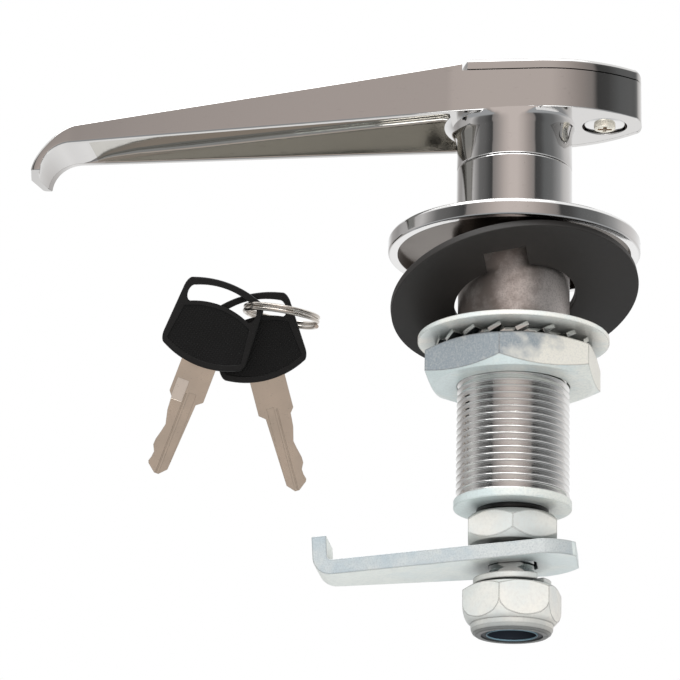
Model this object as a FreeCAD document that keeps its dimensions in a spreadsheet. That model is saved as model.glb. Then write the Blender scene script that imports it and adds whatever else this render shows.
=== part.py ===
import FreeCAD, Part
import math
import os
import re
import Sketcher

# Handle lock with a cam: chrome handle, key cylinder under a swinging dust cover, threaded barrel with its
# washers and nuts, a spindle that carries the cam, and two keys on a split ring.
# Frame: the lock's axis is Z, with the handle on +Z. The origin is on that axis at the flange's mounting face.
# The handle and the cam point along -X. Lengths are millimetres and angles are degrees.

doc = FreeCAD.newDocument("HandleLock")
sheet = doc.addObject("Spreadsheet::Sheet", "Sizes")

sizes = {
    # housing
    "flange_radius": 24.95,
    "rim_height": 3.3,
    "crown_height": 4.6,
    "recess_radius": 23.0,
    "recess_depth": 1.5,
    "boss_radius": 12.3,
    "boss_drop": 2.0,
    "lug_reach": 16.5,
    "lug_width": 7.8,
    "collar_top": 17.7,
    "barrel_radius": 11.0,
    "barrel_length": 50.1,
    "thread_play": 0.03,
    "press_gap": 0.02,
    "end_play": 0.1,
    "rim_bevel": 0.6,
    "bearing_floor": 1.0,
    # handle
    "neck_radius": 11.5,
    "seam_gap": 0.1,
    "head_bottom": 27.2,
    "head_top": 35.2,
    "head_half_width": 11.8,
    "head_side_radius": 29.0,
    "head_side_start": 4.0,
    "head_nose_x": 24.2,
    "head_nose_half": 2.7,
    "head_nose_radius": 3.6,
    "lever_root_x": 12.0,
    "lever_root_top": 37.1,
    "lever_bend_x": 88.6,
    "lever_bend_top": 27.75,
    "lever_bend_bottom": 23.9,
    "lever_bend_inner_x": 89.8,
    "tip_x": 97.0,
    "tip_half_width": 6.5,
    "tip_round": 12.0,
    "tip_bottom": 18.15,
    "tip_thickness": 1.9,
    "tip_outer_radius": 12.5,
    "tip_inner_radius": 5.9,
    "lever_rim": 1.5,
    "lever_roof": 2.2,
    "channel_end_x": 85.5,
    "spigot_radius": 8.5,
    "spigot_end": 1.3,
    "turn_clearance": 0.05,
    "neck_flare": 2.6,
    "flare_share": 0.3,
    "lever_edge": 0.5,
    "channel_root_drop": 0.6,
    "channel_end_rise": 0.3,
    "crank_side_gap": 0.2,
    "crank_play": 0.3,
    "spindle_seat": 7.7,
    # dust cover and its pivot
    "pivot_x": 18.0,
    "cover_thickness": 2.3,
    "cover_bevel": 0.6,
    "cover_gap": 0.15,
    "cover_reach": 29.1,
    "notch_width": 1.0,
    "pivot_boss_radius": 2.6,
    "pivot_clearance": 0.06,
    "pivot_floor": 29.4,
    "counterbore_radius": 4.5,
    "pivot_washer_radius": 3.9,
    "pivot_washer_thickness": 0.5,
    "pivot_screw_radius": 1.25,
    "pivot_screw_head_radius": 2.15,
    "pivot_screw_head_height": 1.3,
    "pivot_screw_length": 7.0,
    "pivot_washer_play": 0.1,
    # key cylinder
    "sleeve_radius": 7.0,
    "sleeve_bottom": 15.0,
    "plug_radius": 4.95,
    "plug_bottom": 15.6,
    "plug_sink": 0.3,
    "keyway_width": 2.1,
    "keyway_height": 7.7,
    "wafer_count": 5,
    "wafer_top": 31.0,
    "wafer_pitch": 2.7,
    "wafer_thickness": 1.0,
    "wafer_width": 6.0,
    "wafer_clearance": 0.06,
    "wafer_window_width": 2.4,
    "wafer_window_height": 5.4,
    "wafer_end_radius": 4.8,
    "wafer_travel": 0.6,
    "wafer_groove_radius": 5.9,
    "wafer_groove_play": 0.35,
    "wafer_window_step": 0.35,
    "tail_width": 3.6,
    "crank_radius": 5.2,
    "crank_thickness": 1.6,
    "crank_lift": 0.5,
    "crank_socket_floor": 1.58,
    "crank_offset": 1.4142,
    "crank_pin_radius": 1.0,
    "sleeve_pin_radius": 1.85,
    "sleeve_pin_height": 23.8,
    "sleeve_pin_turn": 23.0,
    "sleeve_pin_recess": 1.3,
    # locking bolt
    "bolt_bottom": 8.8,
    "bolt_height": 3.6,
    "bolt_width": 6.0,
    "bolt_clearance": 0.08,
    "bolt_inner_end": 4.6,
    "bolt_outer_end": 8.2,
    "bolt_travel": 2.0,
    "pocket_depth": 2.0,
    # spindle and its pieces
    "spindle_radius": 6.0,
    "spindle_reach": 5.9,
    "shank_short": 1.5,
    "thread_radius": 4.95,
    "spindle_flats": 8.5,
    "drive_pin_radius": 1.25,
    "drive_pin_height": 4.4,
    "drive_pin_short": 0.3,
    "fit_clearance": 0.1,
    "stop_radius": 11.45,
    "stop_thickness": 1.7,
    "stop_tab_half_angle": 14.0,
    "stop_tab_height": 2.0,
    "stop_tab_inner": 7.4,
    "stop_tab_outer": 9.4,
    "stop_track_depth": 2.4,
    "turn_angle": 90.0,
    "clip_thickness": 1.0,
    "clip_radius": 7.0,
    "clip_groove_radius": 4.4,
    # fasteners on the barrel
    "washer_radius": 18.8,
    "washer_thickness": 1.0,
    "washer_top": 17.2,
    "washer_hole_radius": 11.3,
    "star_hole_radius": 11.25,
    "star_ring_radius": 13.0,
    "star_tooth_radius": 15.4,
    "star_tooth_width": 2.7,
    "star_thickness": 0.9,
    "star_height": 2.2,
    "star_twist": 29.0,
    "star_teeth": 18,
    "nut_flats": 32.0,
    "nut_corner_radius": 17.8,
    "nut_height": 6.7,
    "nut_turn": 25.4,
    "nut_chamfer_drop": 1.1,
    "nut_face_radius": 15.4,
    "gasket_radius": 24.6,
    "gasket_hole_radius": 12.9,
    "gasket_thickness": 1.6,
    "gasket_notch_width": 8.3,
    "gasket_notch_reach": 17.6,
    "gasket_notch_turn": 268.0,
    "gasket_centre": 8.75,
    "gasket_tilt": 18.5,
    "gasket_tilt_turn": 31.4,
    "gasket_shift_y": 0.3,
    # cam end
    "small_nut_flats": 17.0,
    "small_nut_corner_radius": 9.45,
    "small_nut_face_radius": 8.1,
    "small_nut_chamfer_drop": 0.75,
    "jam_nut_drop": 3.2,
    "jam_nut_height": 5.8,
    "jam_nut_turn": 34.0,
    "cam_thickness": 2.9,
    "cam_slack": 1.1,
    "cam_tilt": 4.0,
    "cam_reach": 38.1,
    "cam_hook_height": 7.7,
    "cam_bend_radius": 3.6,
    "cam_tip_half_width": 4.7,
    "cam_root_half_width": 9.6,
    "cam_tail_x": 9.0,
    "cam_end_x": 12.4,
    "cam_hole_clearance": 0.3,
    "spring_washer_slack": 2.3,
    "spring_washer_thickness": 1.6,
    "spring_washer_radius": 7.5,
    "spring_washer_rise": 0.7,
    "spring_washer_gap": 12.0,
    "spring_washer_play": 0.25,
    "spring_washer_turn": 40.0,
    "lock_nut_slack": 0.5,
    "lock_nut_hex_height": 6.4,
    "lock_nut_height": 9.2,
    "lock_nut_turn": 19.4,
    "lock_collar_radius": 7.6,
    "lock_lip_radius": 5.95,
    "lock_bevel": 0.9,
    "nylon_radius": 6.6,
    "nylon_hole_radius": 4.98,
    "nylon_depth": 2.4,
    "nylon_lip": 0.35,
    # keys and split ring
    "keys_left": 55.6,
    "keys_back": 13.0,
    "keys_drop": 5.5,
    "keys_turn": 9.2,
    "keys_lean": 17.0,
    "key_head_top_half": 8.4,
    "key_head_half_width": 9.2,
    "key_head_shoulder": 6.6,
    "key_head_chin": 7.0,
    "key_head_crown_radius": 20.5,
    "key_head_chin_radius": 17.6,
    "key_head_thickness": 2.8,
    "key_head_corner": 1.8,
    "key_head_edge": 0.5,
    "key_slot_half_width": 6.3,
    "key_slot_low": 2.25,
    "key_slot_height": 3.5,
    "key_slot_curve": 15.5,
    "key_blade_thickness": 2.0,
    "key_blade_shoulder": 3.65,
    "key_blade_shoulder_end": 16.2,
    "key_blade_half_width": 2.85,
    "key_blade_back": 2.4,
    "key_blade_reach": 32.9,
    "key_cut_depth": 3.0,
    "key_stem_top": 4.6,
    "key_stem_half": 2.2,
    "key_collar": 2.75,
    "key_groove_half": 0.75,
    "key_groove_side": 1.0,
    "key_groove_depth": 0.32,
    "key_groove_top": 15.2,
    "key_tip_half": 0.45,
    "key_tip_bevel": 1.4,
    "key_one_angle": -19.0,
    "key_two_angle": 16.5,
    "key_one_grip_right": 4.7,
    "key_one_grip_up": 4.85,
    "key_two_grip_left": 0.8,
    "key_two_grip_up": 5.8,
    "key_one_front": 0.9,
    "key_two_behind": 2.2,
    "ring_radius": 7.5,
    "ring_wire": 0.42,
    "ring_turn_gap": 0.06,
    "ring_lean": 7.0,
    "ring_roll": -9.0,
}

for row, (name, value) in enumerate(sizes.items(), start=1):
    sheet.set(f"A{row}", name)
    sheet.set(f"B{row}", str(value))
    sheet.setAlias(f"B{row}", name)
doc.recompute()


def sized(text):
    # puts the sheet's name before each size, as an expression needs it
    return re.sub(r"[a-z][a-z_]*", lambda m: "Sizes." + m.group() if m.group() in sizes else m.group(), str(text))


def number(text):
    return float(sheet.evalExpression(sized(text)))


# how deep the pieces at the cam's end hang, each below the one before it
stop_bottom = "(barrel_length + stop_thickness + end_play)"
jam_nut_top = "(barrel_length + jam_nut_drop)"
cam_top = f"({jam_nut_top} + jam_nut_height + cam_slack)"
spring_washer_top = f"({cam_top} + cam_thickness + spring_washer_slack)"
lock_nut_top = f"({spring_washer_top} + spring_washer_thickness + lock_nut_slack)"
lock_nut_bottom = f"(-{lock_nut_top} - lock_nut_height)"
spindle_end = f"({lock_nut_top} + spindle_reach)"
shank_end = "(barrel_length - shank_short)"


def new_body(label):
    body = doc.addObject("PartDesign::Body", label)
    body.Label = label
    return body


def sketch_on(body, role, level="0"):
    # a sketch on one of the body's own origin planes, moved along the plane's normal
    sketch = body.newObject("Sketcher::SketchObject", body.Label + "_sketch")
    plane = [f for f in body.Origin.OriginFeatures if f.Role == role][0]
    sketch.AttachmentSupport = [(plane, "")]
    sketch.MapMode = "FlatFace"
    if level != "0":
        sketch.setExpression("AttachmentOffset.Base.z", sized(level))
    return sketch


def tie(sketch, kind, first, second, text):
    # one dimension, bound to the sheet
    index = sketch.addConstraint(Sketcher.Constraint(kind, *first, *second, number(text)))
    name = f"size{index}"
    sketch.renameConstraint(index, name)
    sketch.setExpression("Constraints." + name, sized(text))


def place_point(sketch, edge, end, x, y):
    for kind, text, axis in (("DistanceX", x, -2), ("DistanceY", y, -1)):
        if str(text) == "0":
            sketch.addConstraint(Sketcher.Constraint("PointOnObject", edge, end, axis))
        else:
            tie(sketch, kind, (-1, 1), (edge, end), text)


def circle(sketch, radius, x="0", y="0"):
    centre = FreeCAD.Vector(number(x), number(y), 0)
    edge = sketch.addGeometry(Part.Circle(centre, FreeCAD.Vector(0, 0, 1), number(radius)), False)
    place_point(sketch, edge, 3, x, y)
    tie(sketch, "Radius", (edge,), (), radius)


def loop(sketch, points, arcs=None):
    # a closed outline; arcs maps an edge's number to its radius, with the centre on the left unless it starts with -
    arcs = arcs or {}
    spots = [FreeCAD.Vector(number(x), number(y), 0) for x, y in points]
    ends = []
    for i, start in enumerate(spots):
        stop = spots[(i + 1) % len(spots)]
        if i not in arcs:
            edge = sketch.addGeometry(Part.LineSegment(start, stop), False)
            ends.append((edge, 1, 2))
            continue
        left = not arcs[i].startswith("-")
        radius = number(arcs[i].lstrip("-"))
        chord = stop - start
        across = FreeCAD.Vector(-chord.y, chord.x, 0).normalize() * (1 if left else -1)
        centre = (start + stop) * 0.5 + across * math.sqrt(max(radius**2 - chord.Length**2 / 4, 0))
        first, last = (start, stop) if left else (stop, start)
        begin = math.atan2(first.y - centre.y, first.x - centre.x)
        finish = math.atan2(last.y - centre.y, last.x - centre.x)
        ring = Part.Circle(centre, FreeCAD.Vector(0, 0, 1), radius)
        edge = sketch.addGeometry(Part.ArcOfCircle(ring, begin, finish), False)
        ends.append((edge, 1, 2) if left else (edge, 2, 1))
        tie(sketch, "Radius", (edge,), (), arcs[i].lstrip("-"))
    for i, (edge, begin, finish) in enumerate(ends):
        following = ends[(i + 1) % len(ends)]
        sketch.addConstraint(Sketcher.Constraint("Coincident", edge, finish, following[0], following[1]))
        place_point(sketch, edge, begin, *points[i])


def box_loop(sketch, x_low, x_high, y_low, y_high):
    loop(sketch, [(x_low, y_low), (x_high, y_low), (x_high, y_high), (x_low, y_high)])


def pad(body, sketch, length, flip=False):
    feature = body.newObject("PartDesign::Pad", body.Label + "_pad")
    feature.Profile = sketch
    feature.setExpression("Length", sized(length))
    feature.Reversed = flip
    return feature


def pocket(body, sketch, length=None, flip=False):
    # a cut along the sketch's normal, downwards unless flipped; with no length it goes through everything
    feature = body.newObject("PartDesign::Pocket", body.Label + "_pocket")
    feature.Profile = sketch
    feature.Reversed = flip
    if length is None:
        feature.Type = 1
    else:
        feature.setExpression("Length", sized(length))
    return feature


def turned(body, points, arcs=None, kind="Revolution"):
    # a profile of radius and height, turned about the lock's axis
    sketch = sketch_on(body, "XZ_Plane")
    loop(sketch, points, arcs)
    feature = body.newObject("PartDesign::" + kind, body.Label + "_turned")
    feature.Profile = sketch
    feature.ReferenceAxis = (sketch, ["V_Axis"])
    feature.Angle = 360
    return feature


def rounded(body, base, test, radius):
    # fillets the edges that the test picks by their middle point and ends
    doc.recompute()
    names = [f"Edge{i + 1}" for i, edge in enumerate(base.Shape.Edges) if test(edge)]
    feature = body.newObject("PartDesign::Fillet", body.Label + "_round")
    feature.Base = (base, names)
    feature.setExpression("Radius", sized(radius))
    return feature


def hexagon(sketch, flats, turn):
    # six sides about the origin, turned so that one corner stands at the given angle
    corner = f"({flats}) / sqrt(3)"
    points = []
    for i in range(6):
        angle = f"({turn} + {60 * i})"
        points.append((f"{corner} * cos({angle} * 1deg)", f"{corner} * sin({angle} * 1deg)"))
    loop(sketch, points)


def nut_blank(body, top, height, flats, turn, corner, face, drop):
    # a hexagon whose corners and both faces are turned down
    sketch = sketch_on(body, "XY_Plane", f"-({top})")
    hexagon(sketch, flats, turn)
    pad(body, sketch, height, flip=True)
    reach = f"({flats})"
    low = f"-({top}) - ({height})"
    points = [(corner, f"{low} + {drop}"), (face, low), (reach, low), (reach, f"-({top})"),
              (face, f"-({top})"), (corner, f"-({top}) - {drop}")]
    return turned(body, points, kind="Groove")


# one cylinder along Z, standing on its lower level
def rod(name, radius, low, high, x="0", y="0"):
    item = doc.addObject("Part::Cylinder", name)
    item.setExpression("Radius", sized(radius))
    item.setExpression("Height", sized(f"({high}) - ({low})"))
    item.setExpression("Placement.Base.x", sized(x))
    item.setExpression("Placement.Base.y", sized(y))
    item.setExpression("Placement.Base.z", sized(low))
    return item


def block(name, x_low, x_high, y_low, y_high, z_low, z_high):
    item = doc.addObject("Part::Box", name)
    for size, low, high in (("Length", x_low, x_high), ("Width", y_low, y_high), ("Height", z_low, z_high)):
        item.setExpression(size, sized(f"({high}) - ({low})"))
    for axis, low in (("x", x_low), ("y", y_low), ("z", z_low)):
        item.setExpression("Placement.Base." + axis, sized(low))
    return item


def fuse(name, pieces):
    item = doc.addObject("Part::MultiFuse", name)
    item.Shapes = pieces
    return item


def common(name, pieces):
    item = doc.addObject("Part::MultiCommon", name)
    item.Shapes = pieces
    return item


def cut(name, base, tool):
    item = doc.addObject("Part::Cut", name)
    item.Base = base
    item.Tool = tool
    item.Label = name
    return item


def make_housing():
    body = new_body("housing")
    bore = "spigot_radius + turn_clearance"
    shaft_bore = "spindle_radius + turn_clearance"
    turned(body, [
        (shaft_bore, "-barrel_length"), ("barrel_radius", "-barrel_length"), ("barrel_radius", "-boss_drop"),
        ("boss_radius", "-boss_drop"), ("boss_radius", "recess_depth"), ("recess_radius", "recess_depth"),
        ("recess_radius", "0"), ("flange_radius", "0"), ("flange_radius", "rim_height - rim_bevel"),
        ("flange_radius - rim_bevel", "rim_height"),
        ("neck_radius", "crown_height"), ("neck_radius", "collar_top"), (bore, "collar_top"),
        (bore, "bearing_floor"), (shaft_bore, "bearing_floor")])
    lug = sketch_on(body, "XY_Plane", "-boss_drop")
    box_loop(lug, "-lug_width / 2", "lug_width / 2", "(spindle_radius + barrel_radius) / 2", "lug_reach")
    pad(body, lug, "boss_drop + recess_depth")
    for axis in (0, 1):
        # the bolt drops into a pocket with the handle closed, and into another with it turned
        hole = sketch_on(body, "XY_Plane", "bolt_bottom - bolt_clearance")
        near, far = "spigot_radius - 1", "spigot_radius + turn_clearance + pocket_depth"
        half = "bolt_width / 2 + 2 * bolt_clearance"
        if axis == 0:
            box_loop(hole, near, far, f"-({half})", half)
        else:
            box_loop(hole, f"-({half})", half, near, far)
        last = pocket(body, hole, "bolt_height + 2 * bolt_clearance", flip=True)
    track = sketch_on(body, "XY_Plane", "-barrel_length")
    inner, outer = "stop_tab_inner - fit_clearance", "stop_tab_outer + fit_clearance"
    start = "(-(stop_tab_half_angle + 1) * 1deg)"
    finish = "((stop_tab_half_angle + 1 + turn_angle) * 1deg)"
    middle = "(turn_angle / 2 * 1deg)"
    points = []
    for radius, angle in ((inner, finish), (inner, middle), (inner, start), (outer, start), (outer, middle),
                          (outer, finish)):
        points.append((f"({radius}) * cos{angle}", f"({radius}) * sin{angle}"))
    loop(track, points, {0: "-" + inner, 1: "-" + inner, 3: outer, 4: outer})
    last = pocket(body, track, "stop_track_depth", flip=True)
    return body


def head_outline(sketch, start_x, closing):
    # the head seen from above: straight flanks, two long arcs and a small nose; closing is the left-hand part
    points = [
        (start_x, "-head_half_width"), ("head_side_start", "-head_half_width"),
        ("head_nose_x", "-head_nose_half"), ("head_nose_x", "head_nose_half"),
        ("head_side_start", "head_half_width"), (start_x, "head_half_width")]
    arcs = {1: "head_side_radius", 2: "head_nose_radius", 3: "head_side_radius"}
    extra, extra_arcs = closing
    arcs.update({5 + i: radius for i, radius in extra_arcs.items()})
    loop(sketch, points + extra, arcs)


def on_lever_back(edge):
    # the long edges between the lever's back and its flanks
    middle = edge.CenterOfMass
    root, tip = number("-lever_root_x"), number("-lever_bend_x")
    if not tip < middle.x < root or abs(middle.y) < number("tip_half_width"):
        return False
    fall = (middle.x - root) / (tip - root)
    back = number("lever_root_top") + fall * (number("lever_bend_top") - number("lever_root_top"))
    return abs(middle.z - back) < 0.6 and edge.Length > 20


def make_handle():
    body = new_body("handle")
    half = "head_half_width + 2"
    side = sketch_on(body, "XZ_Plane", f"-({half})")
    loop(side, [
        ("head_nose_x + 4", "head_bottom"), ("head_nose_x + 4", "lever_root_top"),
        ("-lever_root_x + 3", "lever_root_top"), ("-lever_bend_x", "lever_bend_top"),
        ("-tip_x", "tip_bottom"), ("-tip_x + tip_thickness", "tip_bottom"),
        ("-lever_bend_inner_x", "lever_bend_bottom"), ("0", "head_bottom")],
        {3: "tip_outer_radius", 5: "-tip_inner_radius"})
    pad(body, side, f"2 * ({half})")
    channel = body.newObject("PartDesign::SubtractiveLoft", "handle_channel")
    near = sketch_on(body, "YZ_Plane", "-neck_radius / 2")
    box_loop(near, "-head_half_width + lever_rim", "head_half_width - lever_rim", "head_bottom - 4",
             "lever_root_top - lever_roof - channel_root_drop")
    far = sketch_on(body, "YZ_Plane", "-channel_end_x")
    end_half = "(tip_half_width + channel_root_drop - lever_rim)"
    box_loop(far, f"-{end_half}", end_half, "lever_bend_bottom - 4", "lever_bend_top - lever_roof + channel_end_rise")
    channel.Profile = near
    channel.Sections = [far]
    channel.Ruled = True
    hub = sketch_on(body, "XY_Plane", "collar_top + seam_gap")
    circle(hub, "neck_radius")
    pad(body, hub, "head_top - 1 - collar_top - seam_gap")
    # the neck flares into the head, and closes the root of the channel
    turned(body, [
        ("spigot_radius", "head_bottom - neck_flare"), ("neck_radius", "head_bottom - neck_flare"),
        ("neck_radius + flare_share * neck_flare", "head_bottom - flare_share * neck_flare"),
        ("neck_radius + neck_flare", "head_bottom"), ("neck_radius + neck_flare", "head_top - 1"),
        ("spigot_radius", "head_top - 1")])
    plan = sketch_on(body, "XY_Plane", "lever_root_top + 5")
    box_loop(plan, "-2 * tip_x", "tip_x", "-tip_x", "tip_x")
    flank = [("-tip_x + 0.3", "tip_half_width"), ("-tip_x + 0.3", "-tip_half_width")]
    head_outline(plan, "-lever_root_x", (flank, {1: "tip_round"}))
    pocket(body, plan)
    spigot = sketch_on(body, "XY_Plane", "spigot_end")
    circle(spigot, "spigot_radius")
    pad(body, spigot, "collar_top + 1 - spigot_end")
    seat = sketch_on(body, "XY_Plane", "head_top")
    circle(seat, "cover_reach + notch_width", "pivot_x")
    stepped = pocket(body, seat, "5", flip=True)
    rounded(body, stepped, on_lever_back, "lever_edge")
    for level, radius, depth, x in (
            ("head_top", "sleeve_radius + press_gap", "head_top - sleeve_bottom", "0"),
            ("sleeve_bottom", "crank_radius + crank_side_gap",
             "sleeve_bottom - bolt_bottom - bolt_height - crank_play", "0"),
            ("spindle_seat", "spindle_radius + press_gap", "spindle_seat - spigot_end", "0"),
            ("head_top", "pivot_boss_radius + pivot_clearance", "head_top - head_bottom", "pivot_x")):
        bore = sketch_on(body, "XY_Plane", level)
        circle(bore, radius, x)
        pocket(body, bore, depth)
    counterbore = sketch_on(body, "XY_Plane", "pivot_floor")
    circle(counterbore, "counterbore_radius", "pivot_x")
    pocket(body, counterbore, "pivot_floor - head_bottom + 1")
    slot = sketch_on(body, "XY_Plane", "bolt_bottom - bolt_clearance")
    wide = "bolt_width / 2 + bolt_clearance"
    box_loop(slot, "-bolt_inner_end - crank_play", "spigot_radius + 2", f"-({wide})", wide)
    pocket(body, slot, "bolt_height + 2 * bolt_clearance", flip=True)
    opening = sketch_on(body, "XY_Plane", "bolt_bottom + bolt_height")
    circle(opening, "crank_offset + crank_pin_radius + 1")
    pocket(body, opening, "1", flip=True)
    pin = sketch_on(body, "XZ_Plane", "-spigot_radius - 2")
    circle(pin, "drive_pin_radius", "0", "drive_pin_height")
    last = pocket(body, pin, "2 * spigot_radius + 4", flip=True)
    body.Tip = last
    # a round hole across the neck, for the pin that holds the sleeve
    radial = doc.addObject("Part::Cylinder", "sleeve_pin_hole")
    radial.setExpression("Radius", sized("sleeve_pin_radius"))
    radial.setExpression("Height", sized("neck_radius + 2 - sleeve_radius"))
    turn = math.radians(-number("sleeve_pin_turn"))
    out = FreeCAD.Vector(math.cos(turn), math.sin(turn), 0)
    base = out * number("sleeve_radius - 1") + FreeCAD.Vector(0, 0, number("sleeve_pin_height"))
    radial.Placement = FreeCAD.Placement(base, FreeCAD.Rotation(FreeCAD.Vector(0, 0, 1), out))
    body.Label = "handle_casting"
    return cut("handle", body, radial)


def make_sleeve_pin():
    pin = doc.addObject("Part::Cylinder", "sleeve_pin")
    pin.setExpression("Radius", sized("sleeve_pin_radius - press_gap"))
    pin.setExpression("Height", sized("neck_radius - sleeve_pin_recess - sleeve_radius"))
    turn = math.radians(-number("sleeve_pin_turn"))
    out = FreeCAD.Vector(math.cos(turn), math.sin(turn), 0)
    base = out * number("sleeve_radius + press_gap") + FreeCAD.Vector(0, 0, number("sleeve_pin_height"))
    pin.Placement = FreeCAD.Placement(base, FreeCAD.Rotation(FreeCAD.Vector(0, 0, 1), out))
    return pin


def make_dust_cover():
    body = new_body("dust_cover")
    plate = sketch_on(body, "XY_Plane", "head_top + cover_gap")
    start = "(pivot_x - sqrt(cover_reach^2 - head_half_width^2))"
    head_outline(plate, start, ([], {0: "cover_reach"}))
    top = pad(body, plate, "cover_thickness")
    doc.recompute()
    upper = [f"Face{i + 1}" for i, face in enumerate(top.Shape.Faces)
             if face.BoundBox.ZMin > number("head_top + cover_thickness")]
    bevel = body.newObject("PartDesign::Chamfer", "cover_bevel_edge")
    bevel.Base = (top, upper)
    bevel.setExpression("Size", sized("cover_bevel"))
    boss = sketch_on(body, "XY_Plane", "pivot_floor - pivot_clearance")
    circle(boss, "pivot_boss_radius", "pivot_x")
    pad(body, boss, "head_top + cover_gap + 0.5 - pivot_floor + pivot_clearance")
    hole = sketch_on(body, "XY_Plane", "pivot_floor - pivot_clearance")
    circle(hole, "pivot_screw_radius", "pivot_x")
    pocket(body, hole, "pivot_screw_length - pivot_washer_thickness", flip=True)
    return body


def make_cover_screw():
    top = "(pivot_floor - pivot_clearance - pivot_washer_thickness)"
    head = rod("cover_screw_head", "pivot_screw_head_radius", f"{top} - pivot_screw_head_height", top, "pivot_x")
    shank = rod("cover_screw_shank", "pivot_screw_radius - press_gap", top, f"{top} + pivot_screw_length - end_play", "pivot_x")
    return fuse("cover_screw", [head, shank])


def make_cover_washer():
    top = "(pivot_floor - pivot_clearance)"
    disc = rod("cover_washer_disc", "pivot_washer_radius", f"{top} - pivot_washer_thickness", top, "pivot_x")
    hole = rod("cover_washer_hole", "pivot_screw_radius + pivot_washer_play", f"{top} - 2", f"{top} + 1", "pivot_x")
    return cut("cover_washer", disc, hole)


def make_cylinder_sleeve():
    top = "(head_top - plug_sink)"
    outer = rod("sleeve_outer", "sleeve_radius", "sleeve_bottom", top)
    bore = rod("sleeve_bore", "plug_radius + turn_clearance", "sleeve_bottom - 1", f"{top} + 1")
    low = "wafer_top - wafer_pitch * (wafer_count - 1) - wafer_thickness"
    high = "wafer_top + wafer_thickness"
    groove = "(wafer_width / 2 + wafer_groove_play)"
    across = block("sleeve_groove_x", "-wafer_groove_radius", "wafer_groove_radius", f"-{groove}", groove, low, high)
    along = block("sleeve_groove_y", f"-{groove}", groove, "-wafer_groove_radius", "wafer_groove_radius", low, high)
    return cut("cylinder_sleeve", outer, fuse("sleeve_cuts", [bore, across, along]))


def wafer_level(index):
    return f"(wafer_top - {index} * wafer_pitch)"


def make_lock_plug():
    top = "(head_top - plug_sink)"
    barrel = rod("plug_barrel", "plug_radius", "plug_bottom", top)
    half = "tail_width / 2"
    tail_low = "bolt_bottom + bolt_height + crank_socket_floor + press_gap"
    tail = block("plug_tail", f"-{half}", half, f"-{half}", half, tail_low, "plug_bottom + 0.5")
    cuts = [block("plug_keyway", "-keyway_width / 2", "keyway_width / 2", "-keyway_height / 2",
                  "keyway_height / 2", "plug_bottom + 1.5", f"{top} + 1")]
    wide = "(wafer_width / 2 + wafer_clearance)"
    for i in range(int(sizes["wafer_count"])):
        middle = wafer_level(i)
        thick = "(wafer_thickness / 2 + wafer_clearance)"
        cuts.append(block(f"plug_wafer_slot_{i + 1}", f"-{wide}", wide, "-plug_radius - 1", "plug_radius + 1",
                          f"{middle} - {thick}", f"{middle} + {thick}"))
    return cut("lock_plug", fuse("plug_solid", [barrel, tail]), fuse("plug_cuts", cuts))


def make_wafers():
    made = []
    for i in range(int(sizes["wafer_count"])):
        number_name = f"wafer_{i + 1}"
        middle = wafer_level(i)
        low, high = f"{middle} - wafer_thickness / 2", f"{middle} + wafer_thickness / 2"
        plate = block(number_name + "_plate", "-wafer_width / 2", "wafer_width / 2", "-plug_radius", "plug_radius",
                      low, high)
        ends = rod(number_name + "_ends", "wafer_end_radius", low, high)
        shape = common(number_name + "_shape", [plate, ends])
        # each wafer's window sits at its own height, to suit the key's cuts
        shift = f"wafer_window_step * {i % 3 - 1}"
        window = block(number_name + "_window", "-wafer_window_width / 2", "wafer_window_width / 2",
                       f"-wafer_window_height / 2 + {shift}", f"wafer_window_height / 2 + {shift}",
                       f"{low} - 1", f"{high} + 1")
        made.append(cut(number_name, shape, window))
    return made


def make_tail_crank():
    low = "(bolt_bottom + bolt_height + crank_lift)"
    disc = rod("crank_disc", "crank_radius", low, f"{low} + crank_thickness")
    half = "(tail_width / 2 + press_gap)"
    socket = block("crank_socket", f"-{half}", half, f"-{half}", half, "bolt_bottom + bolt_height + crank_socket_floor",
                   f"{low} + crank_thickness + 1")
    angle = "(135deg)"
    pin = rod("crank_pin", "crank_pin_radius", "bolt_bottom + 0.4", f"{low} + 0.2",
              f"crank_offset * cos{angle}", f"-crank_offset * sin{angle}")
    return cut("tail_crank", fuse("crank_solid", [disc, pin]), socket)


def make_lock_bolt():
    half = "(bolt_width / 2)"
    bar = block("bolt_bar", "-bolt_inner_end", "bolt_outer_end", f"-{half}", half, "bolt_bottom",
                "bolt_bottom + bolt_height")
    rest = "(-bolt_travel / 2)"
    wide = "(crank_pin_radius + fit_clearance)"
    slot = block("bolt_slot", f"{rest} - {wide}", f"{rest} + {wide}", "-crank_offset - crank_pin_radius - crank_side_gap", half,
                 "bolt_bottom - 1", "bolt_bottom + bolt_height + 1")
    round_end = rod("bolt_round", "spigot_radius - end_play", "bolt_bottom", "bolt_bottom + bolt_height")
    shaped = common("bolt_shape", [bar, round_end])
    return cut("lock_bolt", shaped, slot)


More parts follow.
